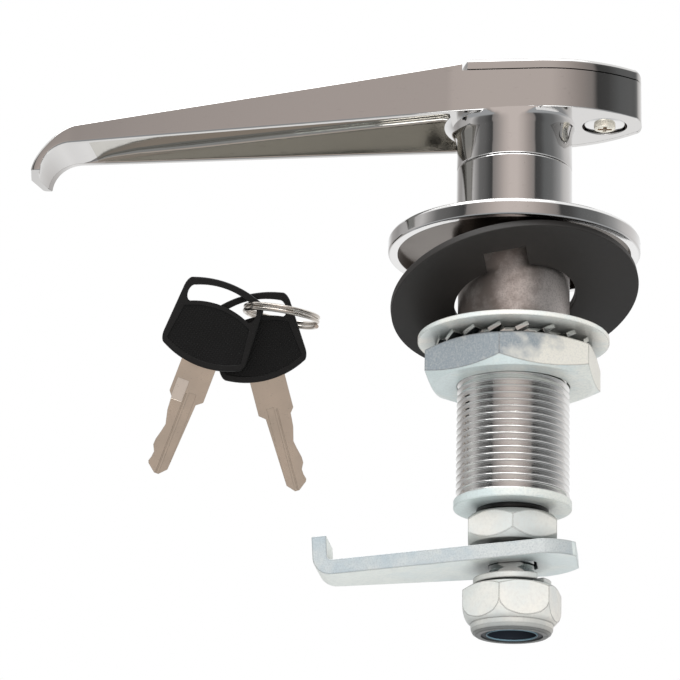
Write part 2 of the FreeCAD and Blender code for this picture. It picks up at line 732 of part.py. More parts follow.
def make_spindle():
    shank = rod("spindle_shank", "spindle_radius", f"-{shank_end}", "spindle_seat - end_play")
    end = rod("spindle_round", "thread_radius", f"-{spindle_end}", f"-{shank_end} + 1")
    half = "(spindle_flats / 2)"
    square = block("spindle_square", f"-{half}", half, f"-{half}", half, f"-{spindle_end}", f"-{shank_end} + 1")
    tail = common("spindle_tail", [end, square])
    solid = fuse("spindle_solid", [shank, tail])
    ring = rod("spindle_groove_outer", "spindle_radius + 1", f"-{stop_bottom} - clip_thickness", f"-{stop_bottom}")
    core = rod("spindle_groove_core", "clip_groove_radius", f"-{stop_bottom} - clip_thickness - 1",
               f"-{stop_bottom} + 1")
    groove = cut("spindle_groove", ring, core)
    pin = doc.addObject("Part::Cylinder", "spindle_pin_hole")
    pin.setExpression("Radius", sized("drive_pin_radius"))
    pin.setExpression("Height", sized("2 * spindle_radius + 4"))
    pin.Placement.Rotation = FreeCAD.Rotation(FreeCAD.Vector(1, 0, 0), -90)
    pin.setExpression("Placement.Base.y", sized("-spindle_radius - 2"))
    pin.setExpression("Placement.Base.z", sized("drive_pin_height"))
    return cut("spindle", solid, fuse("spindle_cuts", [groove, pin]))


def make_drive_pin():
    pin = doc.addObject("Part::Cylinder", "drive_pin")
    pin.setExpression("Radius", sized("drive_pin_radius - press_gap"))
    pin.setExpression("Height", sized("2 * (spigot_radius - drive_pin_short)"))
    pin.Placement.Rotation = FreeCAD.Rotation(FreeCAD.Vector(1, 0, 0), -90)
    pin.setExpression("Placement.Base.y", sized("-spigot_radius + drive_pin_short"))
    pin.setExpression("Placement.Base.z", sized("drive_pin_height"))
    return pin


def square_hole(name, low, high, clearance):
    # a square hole whose corners are rounded to pass the thread
    half = f"(spindle_flats / 2 + {clearance})"
    square = block(name + "_square", f"-{half}", half, f"-{half}", half, low, high)
    around = rod(name + "_round", f"thread_radius + {clearance}", low, high)
    return common(name, [square, around])


def make_stop_washer():
    body = new_body("stop_washer_disc")
    disc = sketch_on(body, "XY_Plane", "-barrel_length - stop_thickness - end_play / 2")
    circle(disc, "stop_radius")
    pad(body, disc, "stop_thickness")
    tab = sketch_on(body, "XY_Plane", "-barrel_length - 0.5")
    points = []
    for radius, side in (("stop_tab_inner", 1), ("stop_tab_inner", -1), ("stop_tab_outer", -1),
                         ("stop_tab_outer", 1)):
        angle = f"({side} * stop_tab_half_angle * 1deg)"
        points.append((f"{radius} * cos{angle}", f"{radius} * sin{angle}"))
    loop(tab, points, {0: "-stop_tab_inner", 2: "stop_tab_outer"})
    pad(body, tab, "stop_tab_height + 0.5")
    hole = square_hole("stop_washer_hole", "-barrel_length - 5", "-barrel_length + 5", "turn_clearance")
    return cut("stop_washer", body, hole)


def make_retaining_ring():
    top = f"(-{stop_bottom} - end_play / 2)"
    disc = rod("ring_disc", "clip_radius", f"{top} - clip_thickness + end_play", top)
    hole = rod("ring_hole", "clip_groove_radius + press_gap", "-barrel_length - 6", "-barrel_length")
    mouth = block("ring_mouth", "-1.6", "1.6", "0", "clip_radius + 2", "-barrel_length - 6", "-barrel_length")
    return cut("retaining_ring", disc, fuse("ring_cuts", [hole, mouth]))


def make_gasket():
    body = new_body("gasket")
    disc = sketch_on(body, "XY_Plane", "-gasket_thickness / 2")
    circle(disc, "gasket_radius")
    circle(disc, "gasket_hole_radius")
    pad(body, disc, "gasket_thickness")
    notch = sketch_on(body, "XY_Plane", "gasket_thickness")
    half = "(gasket_notch_width / 2)"
    box_loop(notch, "gasket_hole_radius - 3", "gasket_notch_reach", f"-{half}", half)
    last = pocket(body, notch)
    body.Tip = last
    up = FreeCAD.Vector(0, 0, 1)
    spin = FreeCAD.Rotation(up, number("gasket_notch_turn - gasket_tilt_turn"))
    tilt = FreeCAD.Rotation(FreeCAD.Vector(1, 0, 0), -number("gasket_tilt"))
    turn = FreeCAD.Rotation(up, number("gasket_tilt_turn"))
    centre = FreeCAD.Vector(0, -number("gasket_shift_y"), -number("gasket_centre"))
    body.Placement = FreeCAD.Placement(centre, turn * tilt * spin)
    return body


def make_flat_washer():
    disc = rod("flat_washer_disc", "washer_radius", "-washer_top - washer_thickness", "-washer_top")
    hole = rod("flat_washer_hole", "washer_hole_radius", "-washer_top - 5", "-washer_top + 5")
    return cut("flat_washer", disc, hole)


def make_star_washer():
    top = "(-washer_top - washer_thickness)"
    middle = f"({top} - star_height / 2)"
    disc = rod("star_disc", "star_ring_radius", f"{middle} - star_thickness / 2", f"{middle} + star_thickness / 2")
    pieces = [disc]
    for i in range(int(sizes["star_teeth"])):
        tooth = doc.addObject("Part::Box", f"star_tooth_{i + 1}")
        tooth.setExpression("Length", sized("star_tooth_radius - star_ring_radius + 1"))
        tooth.setExpression("Width", sized("star_tooth_width"))
        tooth.setExpression("Height", sized("star_thickness"))
        angle = 360 * i / sizes["star_teeth"]
        twist = FreeCAD.Rotation(FreeCAD.Vector(1, 0, 0), number("star_twist"))
        corner = FreeCAD.Vector(0, -number("star_tooth_width / 2"), -number("star_thickness / 2"))
        inner = FreeCAD.Placement(twist.multVec(corner), twist)
        out = FreeCAD.Placement(FreeCAD.Vector(number("star_ring_radius - 1"), 0, number(middle)), FreeCAD.Rotation())
        around = FreeCAD.Placement(FreeCAD.Vector(), FreeCAD.Rotation(FreeCAD.Vector(0, 0, 1), angle))
        tooth.Placement = around * out * inner
        pieces.append(tooth)
    hole = rod("star_hole", "star_hole_radius", f"{top} - 6", f"{top} + 6")
    return cut("star_washer", fuse("star_solid", pieces), hole)


def make_mounting_nut():
    body = new_body("mounting_nut_blank")
    top = "washer_top + washer_thickness + star_height"
    nut_blank(body, top, "nut_height", "nut_flats", "nut_turn", "nut_corner_radius", "nut_face_radius",
              "nut_chamfer_drop")
    hole = rod("mounting_nut_hole", "barrel_radius + thread_play", "-barrel_length", "0")
    return cut("mounting_nut", body, hole)


def make_jam_nut():
    body = new_body("jam_nut_blank")
    nut_blank(body, jam_nut_top, "jam_nut_height", "small_nut_flats", "jam_nut_turn", "small_nut_corner_radius",
              "small_nut_face_radius", "small_nut_chamfer_drop")
    hole = rod("jam_nut_hole", "thread_radius + thread_play", f"-{jam_nut_top} - 2 * jam_nut_height", f"-{jam_nut_top} + 5")
    return cut("jam_nut", body, hole)


def make_cam():
    body = new_body("cam_strip")
    bottom, top = "-cam_thickness", "0"
    side = sketch_on(body, "XZ_Plane", "-cam_root_half_width - 2")
    inner = "(cam_bend_radius - cam_thickness)"
    loop(side, [
        ("cam_end_x", bottom), ("cam_end_x", top), ("-cam_reach + cam_thickness + " + inner, top),
        ("-cam_reach + cam_thickness", inner), ("-cam_reach + cam_thickness", "cam_hook_height - cam_thickness"),
        ("-cam_reach", "cam_hook_height - cam_thickness"), ("-cam_reach", "cam_bend_radius - cam_thickness"),
        ("-cam_reach + cam_bend_radius", bottom)],
        {2: "-" + inner, 6: "cam_bend_radius"})
    pad(body, side, "2 * cam_root_half_width + 4")
    plan = sketch_on(body, "XY_Plane", "cam_hook_height + 5")
    wide = "cam_root_half_width + 10"
    box_loop(plan, "-cam_reach - 10", "cam_end_x + 10", f"-({wide})", wide)
    loop(plan, [
        ("-cam_reach - 1", "-cam_tip_half_width"), ("cam_tail_x - 3", "-cam_root_half_width"),
        ("cam_end_x", "-cam_root_half_width / 2"), ("cam_end_x", "cam_root_half_width / 2"),
        ("cam_tail_x - 3", "cam_root_half_width"), ("-cam_reach - 1", "cam_tip_half_width")],
        {1: "cam_root_half_width", 2: "2.2 * cam_root_half_width", 3: "cam_root_half_width"})
    pocket(body, plan)
    half = "(spindle_flats / 2 + cam_hole_clearance)"
    square = block("cam_hole_square", f"-{half}", half, f"-{half}", half, "-cam_thickness - 1", "1")
    around = rod("cam_hole_round", "thread_radius + cam_hole_clearance", "-cam_thickness - 1", "1")
    plate = cut("cam", body, common("cam_hole", [square, around]))
    # the nuts are backed off, so the strip hangs a little out of square
    plate.Placement = FreeCAD.Placement(
        FreeCAD.Vector(0, 0, -number(cam_top)),
        FreeCAD.Rotation(FreeCAD.Vector(0, 1, 0), -number("cam_tilt")))
    return plate


def make_spring_washer():
    # one turn of square wire, with its two ends apart
    thickness, rise, gap = (number("spring_washer_" + part) for part in ("thickness", "rise", "gap"))
    inner = number("thread_radius + spring_washer_play")
    width = number("spring_washer_radius") - inner
    thick = thickness - rise / 2
    turns = (360 - gap) / 360
    pitch = rise / turns
    radius = inner + width / 2
    helix = Part.makeHelix(pitch, pitch * turns, radius)
    corners = [FreeCAD.Vector(radius + dx * width / 2, 0, dz * thick / 2)
               for dx, dz in ((-1, -1), (1, -1), (1, 1), (-1, 1), (-1, -1))]
    section = Part.makePolygon(corners)
    solid = Part.Wire(helix).makePipeShell([section], True, True)
    item = doc.addObject("Part::Feature", "spring_washer")
    item.Shape = solid
    low = -number(spring_washer_top) - rise - thick / 2
    turn = -number("spring_washer_turn") + gap / 2
    item.Placement = FreeCAD.Placement(FreeCAD.Vector(0, 0, low), FreeCAD.Rotation(FreeCAD.Vector(0, 0, 1), turn))
    return item


def make_lock_nut():
    body = new_body("lock_nut_blank")
    nut_blank(body, lock_nut_top, "lock_nut_hex_height", "small_nut_flats", "lock_nut_turn",
              "small_nut_corner_radius", "small_nut_face_radius", "small_nut_chamfer_drop")
    low = lock_nut_bottom
    hex_low = f"(-{lock_nut_top} - lock_nut_hex_height)"
    turned(body, [
        ("lock_lip_radius", low), ("lock_collar_radius - lock_bevel", low),
        ("lock_collar_radius", f"{low} + lock_bevel"), ("lock_collar_radius", f"{hex_low} + 0.5"),
        ("lock_lip_radius", f"{hex_low} + 0.5")])
    pocket_top = f"{low} + nylon_lip + nylon_depth"
    hole = rod("lock_nut_hole", "thread_radius + thread_play", f"{low} - 1", f"-{lock_nut_top} + 5")
    seat = rod("lock_nut_seat", "nylon_radius", f"{low} + nylon_lip", pocket_top)
    mouth = rod("lock_nut_mouth", "lock_lip_radius", f"{low} - 1", f"{low} + 1")
    return cut("lock_nut", body, fuse("lock_nut_cuts", [hole, seat, mouth]))


def make_nylon_insert():
    low = f"({lock_nut_bottom} + nylon_lip)"
    disc = rod("nylon_disc", "nylon_radius - press_gap", low, f"{low} + nylon_depth - press_gap")
    hole = rod("nylon_hole", "nylon_hole_radius", f"{low} - 1", f"{low} + nylon_depth + 1")
    return cut("nylon_insert", disc, hole)


# the key's cuts: how far along the blade each change of the edge lies, as a share, and how deep it goes there
key_cuts = ((0.06, 0.0), (0.23, 0.06), (0.4, 0.3), (0.49, 0.2), (0.61, 0.03), (0.68, 0.02), (0.76, 0.24),
            (0.825, 0.2), (0.885, 0.1))


def key_place(angle="0", depth="0", grip_x="0", grip_y="0"):
    # where a key lies: turned in the plane that the pair shares, about the ring's wire
    up, across = FreeCAD.Vector(0, 0, 1), FreeCAD.Vector(1, 0, 0)
    corner = FreeCAD.Vector(-number("keys_left"), number("keys_back"), -number("keys_drop"))
    lean = FreeCAD.Rotation(across, 90 + number("keys_lean"))
    group = FreeCAD.Placement(corner, FreeCAD.Rotation(up, number("keys_turn")) * lean)
    own = FreeCAD.Placement(FreeCAD.Vector(0, 0, number(depth)), FreeCAD.Rotation(up, number(angle)))
    grip = FreeCAD.Placement(FreeCAD.Vector(-number(grip_x), -number(grip_y), 0), FreeCAD.Rotation())
    return group * own * grip


def make_key_head(name, place):
    body = new_body(name + "_bow")
    outline = sketch_on(body, "XY_Plane", "-key_head_thickness / 2")
    loop(outline, [
        ("-key_head_top_half", "key_head_shoulder"), ("-key_head_half_width", "-key_head_chin"),
        ("key_head_half_width", "-key_head_chin"), ("key_head_top_half", "key_head_shoulder")],
        {1: "key_head_chin_radius", 3: "key_head_crown_radius"})
    plate = pad(body, outline, "key_head_thickness")
    corners = rounded(body, plate, lambda edge: edge.BoundBox.ZLength > 1, "key_head_corner")
    doc.recompute()
    faces = [f"Face{i + 1}" for i, face in enumerate(corners.Shape.Faces) if face.BoundBox.ZLength < 0.01]
    bevel = body.newObject("PartDesign::Chamfer", name + "_bevel")
    bevel.Base = (corners, faces)
    bevel.setExpression("Size", sized("key_head_edge"))
    slot = sketch_on(body, "XY_Plane", "key_head_thickness")
    wide, low, high = "key_slot_half_width", "key_slot_low", "(key_slot_low + key_slot_height)"
    end = "key_slot_height * 0.56"
    loop(slot, [(f"-{wide}", low), (wide, low), (wide, high), (f"-{wide}", high)],
         {0: "-key_slot_curve", 1: end, 2: "key_slot_curve", 3: end})
    pocket(body, slot)
    half = "(key_blade_thickness / 2 + press_gap)"
    wide = "(key_stem_half + press_gap)"
    stem = block(name + "_stem_hole", f"-{wide}", wide, "-key_head_chin - 6",
                 "-key_stem_top", f"-{half}", half)
    head = cut(name, body, stem)
    head.Placement = place
    return head


def make_key_blade(name, place, side):
    # the cuts are on the left edge, or on the right one where side is -1
    body = new_body(name)
    sketch = sketch_on(body, "XY_Plane", "-key_blade_thickness / 2")
    points = [("-key_stem_half", "-key_stem_top - press_gap"), ("-key_stem_half", "-key_head_chin - key_collar"),
              ("-key_blade_shoulder", "-key_head_chin - key_collar"), ("-key_blade_shoulder", "-key_blade_shoulder_end")]
    for share, depth in key_cuts:
        down = f"key_blade_shoulder_end + {share} * (key_blade_reach - key_blade_shoulder_end)"
        points.append((f"-key_blade_half_width + {depth} * key_cut_depth", f"-({down})"))
    points += [("-key_blade_half_width + 0.5", "-key_blade_reach + key_tip_bevel"),
               ("-key_tip_half", "-key_blade_reach"), ("key_tip_half", "-key_blade_reach"),
               ("key_blade_back - 0.7", "-key_blade_reach + key_tip_bevel"),
               ("key_blade_back", "-key_blade_shoulder_end - 1"), ("key_blade_shoulder", "-key_blade_shoulder_end"),
               ("key_blade_shoulder", "-key_head_chin - key_collar"), ("key_stem_half", "-key_head_chin - key_collar"),
               ("key_stem_half", "-key_stem_top - press_gap")]
    if side < 0:
        points = [(f"-({x})", y) for x, y in reversed(points)]
    loop(sketch, points)
    pad(body, sketch, "key_blade_thickness")
    # one milled groove along each face, on opposite sides of the middle
    for face in (1, -1):
        level = f"{face} * key_blade_thickness / 2"
        groove = sketch_on(body, "XY_Plane", level)
        middle = f"{face * side} * key_groove_side"
        box_loop(groove, f"{middle} - key_groove_half", f"{middle} + key_groove_half", "-key_blade_reach - 1",
                 "-key_groove_top")
        pocket(body, groove, "key_groove_depth", flip=face < 0)
    body.Placement = place
    return body


def make_key(index, place, side):
    return [make_key_head(f"key_{index}_head", place), make_key_blade(f"key_{index}_blade", place, side)]


def make_split_ring():
    # two close turns of flattened wire
    wire, radius = number("ring_wire"), number("ring_radius")
    pitch = 2 * wire + number("ring_turn_gap")
    helix = Part.makeHelix(pitch, 2 * pitch, radius)
    corners = [FreeCAD.Vector(radius + dx * wire, 0, dz * wire)
               for dx, dz in ((-1, -1), (1, -1), (1, 1), (-1, 1), (-1, -1))]
    solid = Part.Wire(helix).makePipeShell([Part.makePolygon(corners)], True, True)
    item = doc.addObject("Part::Feature", "split_ring")
    item.Shape = solid
    # the wire passes through both keys' slots, square to their faces, at the group's origin
    own = FreeCAD.Placement(FreeCAD.Vector(radius, 0, -pitch), FreeCAD.Rotation())
    lean = FreeCAD.Rotation(FreeCAD.Vector(1, 0, 0), 90 - number("ring_lean"))
    roll = FreeCAD.Rotation(FreeCAD.Vector(0, 0, 1), number("ring_roll"))
    item.Placement = key_place() * FreeCAD.Placement(FreeCAD.Vector(), roll * lean) * own
    return item


nodes = [make_housing(), make_handle(), make_sleeve_pin(), make_dust_cover(), make_cover_screw(),
         make_cover_washer(), make_cylinder_sleeve(), make_lock_plug(), make_tail_crank(), make_lock_bolt(),
         make_spindle(), make_drive_pin(), make_stop_washer(), make_retaining_ring(), make_gasket(),
         make_flat_washer(), make_star_washer(), make_mounting_nut(), make_jam_nut(), make_cam(),
         make_spring_washer(), make_lock_nut(), make_nylon_insert(), make_split_ring()]
nodes += make_wafers()
nodes += make_key(1, key_place("key_one_angle", "key_one_front", "key_one_grip_right", "key_one_grip_up"), 1)
nodes += make_key(2, key_place("key_two_angle", "-key_two_behind", "-key_two_grip_left", "key_two_grip_up"), -1)

doc.recompute()
broken = [o.Label for o in doc.Objects if "Invalid" in o.State or "Error" in o.State]
for node in nodes:
    if node.Shape.isNull() or not node.Shape.isValid():
        broken.append(node.Label)
if broken:
    raise SystemExit("these objects failed: " + ", ".join(sorted(set(broken))))
os.makedirs("parts", exist_ok=True)
for node in nodes:
    node.Shape.exportStep(f"parts/{node.Label}.step")
print(f"wrote {len(nodes)} pieces")
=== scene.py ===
import bpy
import bmesh
import math
from mathutils import Matrix, Vector


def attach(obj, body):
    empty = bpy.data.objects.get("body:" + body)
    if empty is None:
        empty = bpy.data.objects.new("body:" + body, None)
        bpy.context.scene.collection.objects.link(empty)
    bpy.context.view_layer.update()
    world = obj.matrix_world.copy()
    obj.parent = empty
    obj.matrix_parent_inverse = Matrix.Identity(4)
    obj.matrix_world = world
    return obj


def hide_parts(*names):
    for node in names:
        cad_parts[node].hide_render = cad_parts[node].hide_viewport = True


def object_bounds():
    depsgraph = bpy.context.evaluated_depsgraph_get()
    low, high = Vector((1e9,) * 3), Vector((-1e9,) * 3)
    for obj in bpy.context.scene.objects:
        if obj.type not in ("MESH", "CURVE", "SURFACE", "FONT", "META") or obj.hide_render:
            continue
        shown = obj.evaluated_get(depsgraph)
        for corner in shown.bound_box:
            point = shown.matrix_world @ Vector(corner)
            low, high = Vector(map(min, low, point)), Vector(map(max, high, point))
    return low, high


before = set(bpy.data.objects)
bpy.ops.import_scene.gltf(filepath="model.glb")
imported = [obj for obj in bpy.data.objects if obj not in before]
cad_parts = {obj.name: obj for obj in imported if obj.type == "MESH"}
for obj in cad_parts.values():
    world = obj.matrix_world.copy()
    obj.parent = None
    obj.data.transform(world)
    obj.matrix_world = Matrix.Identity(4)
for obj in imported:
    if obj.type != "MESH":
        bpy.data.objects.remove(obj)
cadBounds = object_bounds()
print("frame loaded")

mm = 0.001
# a Mix node's colour sockets: the two colours that go in, and the one that comes out
firstColour, secondColour, mixedColour = 6, 7, 2


# objects and shader nodes

def addObject(name, data):
    made = bpy.data.objects.new(name, data)
    bpy.context.collection.objects.link(made)
    return made


def asObject(name, bm):
    mesh = bpy.data.meshes.new(name)
    bm.to_mesh(mesh)
    bm.free()
    return addObject(name, mesh)


def node(tree, kind, place=(0, 0), **values):
    # a shader node; each value goes to the input of that name, or else to the setting
    made = tree.nodes.new(kind)
    made.location = place
    for key, value in values.items():
        if key in made.inputs:
            made.inputs[key].default_value = value
        else:
            setattr(made, key, value)
    return made


def maths(tree, place, operation, second=0.5):
    made = node(tree, "ShaderNodeMath", place, operation=operation)
    made.inputs[1].default_value = second
    return made


def mapRange(tree, place, low, high, toLow=0, toHigh=1, **values):
    made = node(tree, "ShaderNodeMapRange", place, **values)
    for name, value in (("From Min", low), ("From Max", high), ("To Min", toLow), ("To Max", toHigh)):
        made.inputs[name].default_value = value
    return made


def wire(tree, *links):
    # each link is a node, its output, the next node and its input
    for start, output, end, entry in links:
        tree.links.new(start.outputs[output], end.inputs[entry])


def mixColours(tree, place, low, high):
    # two colours mixed by a factor; each is a plain colour, or a node and its output
    mixer = node(tree, "ShaderNodeMix", place, data_type="RGBA")
    for entry, value in ((firstColour, low), (secondColour, high)):
        if len(value) == 3:
            mixer.inputs[entry].default_value = (*value, 1)
        else:
            wire(tree, (*value, mixer, entry))
    return mixer


def emptyMaterial(name):
    material = bpy.data.materials.new(name)
    material.use_nodes = True
    material.node_tree.nodes.clear()
    return material, material.node_tree


# view, world and lamps

cameraSetup = {"place": (38.516, -573.277, -201.895), "yaw": -7.241, "pitch": 17.76, "roll": 1.371,
               "focal": 3069.46, "pixels": 680, "sensor": 36, "near": 0.05, "far": 20}


def makeCamera(s):
    yaw, pitch, roll = (math.radians(s[k]) for k in ("yaw", "pitch", "roll"))
    forward = Vector((math.sin(yaw) * math.cos(pitch), math.cos(yaw) * math.cos(pitch), math.sin(pitch)))
    right = Vector((math.cos(yaw), -math.sin(yaw), 0))
    up = right.cross(forward)
    turnedRight = right * math.cos(roll) + up * math.sin(roll)
    turnedUp = up * math.cos(roll) - right * math.sin(roll)
    data = bpy.data.cameras.new("productCamera")
    data.sensor_width = s["sensor"]
    data.lens = s["focal"] / s["pixels"] * s["sensor"]
    data.clip_start = s["near"]
    data.clip_end = s["far"]
    camera = addObject("productCamera", data)
    turn = Matrix((turnedRight, turnedUp, -forward)).transposed().to_4x4()
    camera.matrix_world = Matrix.Translation(Vector(s["place"]) * mm) @ turn
    bpy.context.scene.camera = camera


# the studio seen in polished metal: direction round the object, how bright, and how warm
horizon = [(-180, 1.0, 0), (-166, 0.92, 0), (-156, 0.75, 0), (-143, 0.42, 0.3), (-129, 0.33, 0.3),
           (-118, 0.42, 0.2), (-99, 0.47, 0.2), (-88, 0.56, 0.2), (-80, 0.36, 0.2), (-70, 0.16, 0.1),
           (-57, 0.125, 0.1), (-47, 0.075, 0), (-41, 0.055, 0), (-39.5, 0.23, 0.6), (-29, 0.34, 0.8),
           (-16, 0.51, 1), (-5, 0.61, 1), (9, 0.61, 1), (21, 0.5, 1), (32, 0.36, 1), (43, 0.25, 0.7),
            (46, 0.06, 0),
           (56, 0.075, 0), (66, 0.13, -0.2), (84, 0.16, -0.1), (93, 0.23, 0), (105, 0.33, 0),
            (120, 0.56, 0.2),
           (140, 0.7, 0.2), (168, 0.9, 0), (180, 1.0, 0)]
studio = {"radius": 2.0, "low": -2.0, "high": 1.7, "fadeUp": (0.95, 1.55), "fadeDown": (-0.95, -1.6),
          "warm": (0, 0.115, 0.17), "ambient": (0.52, 0.52, 0.52), "white": (1.0, 1.0, 1.0),
          "ground": (0.36, 0.37, 0.38)}


def makeWorld(s):
    # a plain level of light, with a white background for the camera, metal and glass
    world = bpy.data.worlds.new("studio")
    bpy.context.scene.world = world
    world.use_nodes = True
    tree = world.node_tree
    tree.nodes.clear()
    path = node(tree, "ShaderNodeLightPath", (-900, 200))
    first = maths(tree, (-640, 200), "MAXIMUM")
    second = maths(tree, (-440, 200), "MAXIMUM")
    seen = mixColours(tree, (-200, 100), s["ambient"], s["white"])
    glow = node(tree, "ShaderNodeBackground", (60, 60))
    out = node(tree, "ShaderNodeOutputWorld", (260, 60))
    wire(tree, (path, "Is Camera Ray", first, 0), (path, "Is Glossy Ray", first, 1), (first, 0, second, 0),
         (path, "Is Transmission Ray", second, 1), (second, 0, seen, "Factor"),
         (seen, mixedColour, glow, "Color"), (glow, 0, out, "Surface"))


def makeCards(s):
    # a wall of grey and black cards round the object, seen only in its polished metal
    bm = bmesh.new()
    bmesh.ops.create_cone(bm, cap_ends=True, segments=120, radius1=s["radius"], radius2=s["radius"],
                          depth=s["high"] - s["low"])
    bmesh.ops.translate(bm, verts=bm.verts, vec=(0, 0, (s["high"] + s["low"]) / 2))
    wall = asObject("studioCards", bm)
    for view in ("camera", "diffuse", "transmission", "volume_scatter", "shadow"):
        setattr(wall, "visible_" + view, False)
    material, tree = emptyMaterial("studioCards")
    material.cycles.emission_sampling = "NONE"
    place = node(tree, "ShaderNodeNewGeometry", (-1400, 0))
    split = node(tree, "ShaderNodeSeparateXYZ", (-1200, 0))
    front = maths(tree, (-1000, -80), "MULTIPLY", -1)
    angle = maths(tree, (-820, 0), "ARCTAN2")
    share = mapRange(tree, (-640, 0), -math.pi, math.pi)
    ramp = node(tree, "ShaderNodeValToRGB", (-440, 0))
    bar = ramp.color_ramp
    while len(bar.elements) < len(horizon):
        bar.elements.new(0.5)
    for element, (at, level, warmth) in zip(bar.elements, horizon):
        element.position = (at + 180) / 360
    for element, (at, level, warmth) in zip(bar.elements, horizon):
        element.color = (*(level * (1 - warmth * w) for w in s["warm"]), 1)
    rise = mapRange(tree, (-640, 240), *s["fadeUp"], interpolation_type="SMOOTHSTEP")
    fall = mapRange(tree, (-640, -240), *s["fadeDown"], interpolation_type="SMOOTHSTEP")
    upper = mixColours(tree, (-160, 120), (ramp, "Color"), s["white"])
    lower = mixColours(tree, (40, 0), (upper, mixedColour), s["ground"])
    glow = node(tree, "ShaderNodeEmission", (240, 0))
    out = node(tree, "ShaderNodeOutputMaterial", (440, 0))
    wire(tree, (place, "Position", split, 0), (split, "Y", front, 0), (split, "X", angle, 0),
         (front, 0, angle, 1),
         (angle, 0, share, "Value"), (share, "Result", ramp, "Fac"), (split, "Z", rise, "Value"),
         (split, "Z", fall, "Value"), (rise, "Result", upper, "Factor"), (fall, "Result", lower, "Factor"),
         (lower, mixedColour, glow, "Color"), (glow, 0, out, "Surface"))
    wall.data.materials.append(material)


lamps = {
    "topSoftbox": {"place": (-0.15, -0.35, 0.95), "aim": (0, 0, 0), "size": (1.1, 0.8), "watts": 9,
                   "gloss": True},
    "leftFill": {"place": (-0.9, -0.75, 0.05), "aim": (0, 0, -0.02), "size": (0.7, 0.9), "watts": 4,
                 "gloss": False},
    "frontFill": {"place": (0.35, -1.0, -0.32), "aim": (0, 0, -0.02), "size": (0.8, 0.6), "watts": 9,
                  "gloss": False},
}


def makeLamp(name, s):
    data = bpy.data.lights.new(name, "AREA")
    data.shape = "RECTANGLE"
    data.size, data.size_y = s["size"]
    data.energy = s["watts"]
    lamp = addObject(name, data)
    aim = Vector(s["aim"]) - Vector(s["place"])
    lamp.matrix_world = Matrix.Translation(s["place"]) @ aim.to_track_quat("-Z", "Y").to_matrix().to_4x4()
    lamp.visible_glossy = s["gloss"]


floorSetup = {"drop": 0.0005, "half": 2.2, "pale": (0.76, 0.76, 0.76, 1)}


def makeFloor(s):
    # it shows from above only, and lets the lamps under it through
    bm = bmesh.new()
    bmesh.ops.create_grid(bm, x_segments=1, y_segments=1, size=s["half"])
    bmesh.ops.translate(bm, verts=bm.verts, vec=(0, 0, cadBounds[0][2] - s["drop"]))
    floor = asObject("floor", bm)
    material, tree = emptyMaterial("paleFloor")
    shade = node(tree, "ShaderNodeBsdfDiffuse", (-200, 100), Color=s["pale"])
    clear = node(tree, "ShaderNodeBsdfTransparent", (-200, -80))
    sides = node(tree, "ShaderNodeNewGeometry", (-700, 200))
    path = node(tree, "ShaderNodeLightPath", (-700, -100))
    either = maths(tree, (-400, 200), "MAXIMUM")
    mixer = node(tree, "ShaderNodeMixShader", (40, 60))
    out = node(tree, "ShaderNodeOutputMaterial", (240, 60))
    wire(tree, (sides, "Backfacing", either, 0), (path, "Is Shadow Ray", either, 1),
         (either, 0, mixer, "Fac"),
         (shade, 0, mixer, 1), (clear, 0, mixer, 2), (mixer, 0, out, "Surface"))
    floor.data.materials.append(material)
    floor.visible_glossy = False


makeCamera(cameraSetup)
makeWorld(studio)
makeCards(studio)
bpy.context.scene.view_settings.view_transform = "Standard"
for lampName, lampSetup in lamps.items():
    makeLamp(lampName, lampSetup)
makeFloor(floorSetup)
print("studio ready")


# shared finishes

def newGroup(name, inputs, outputs):
    group = bpy.data.node_groups.new(name, "ShaderNodeTree")
    for label, value in inputs.items():
        colour = isinstance(value, tuple)
        kind = "NodeSocketColor" if colour else "NodeSocketFloat"
        socket = group.interface.new_socket(label, in_out="INPUT", socket_type=kind)
        socket.default_value = (*value, 1) if colour else value
    for label in outputs:
        kind = "NodeSocketColor" if label == "Color" else "NodeSocketFloat"
        group.interface.new_socket(label, in_out="OUTPUT", socket_type=kind)
    return group, node(group, "NodeGroupInput", (-900, 0)), node(group, "NodeGroupOutput", (900, 0))


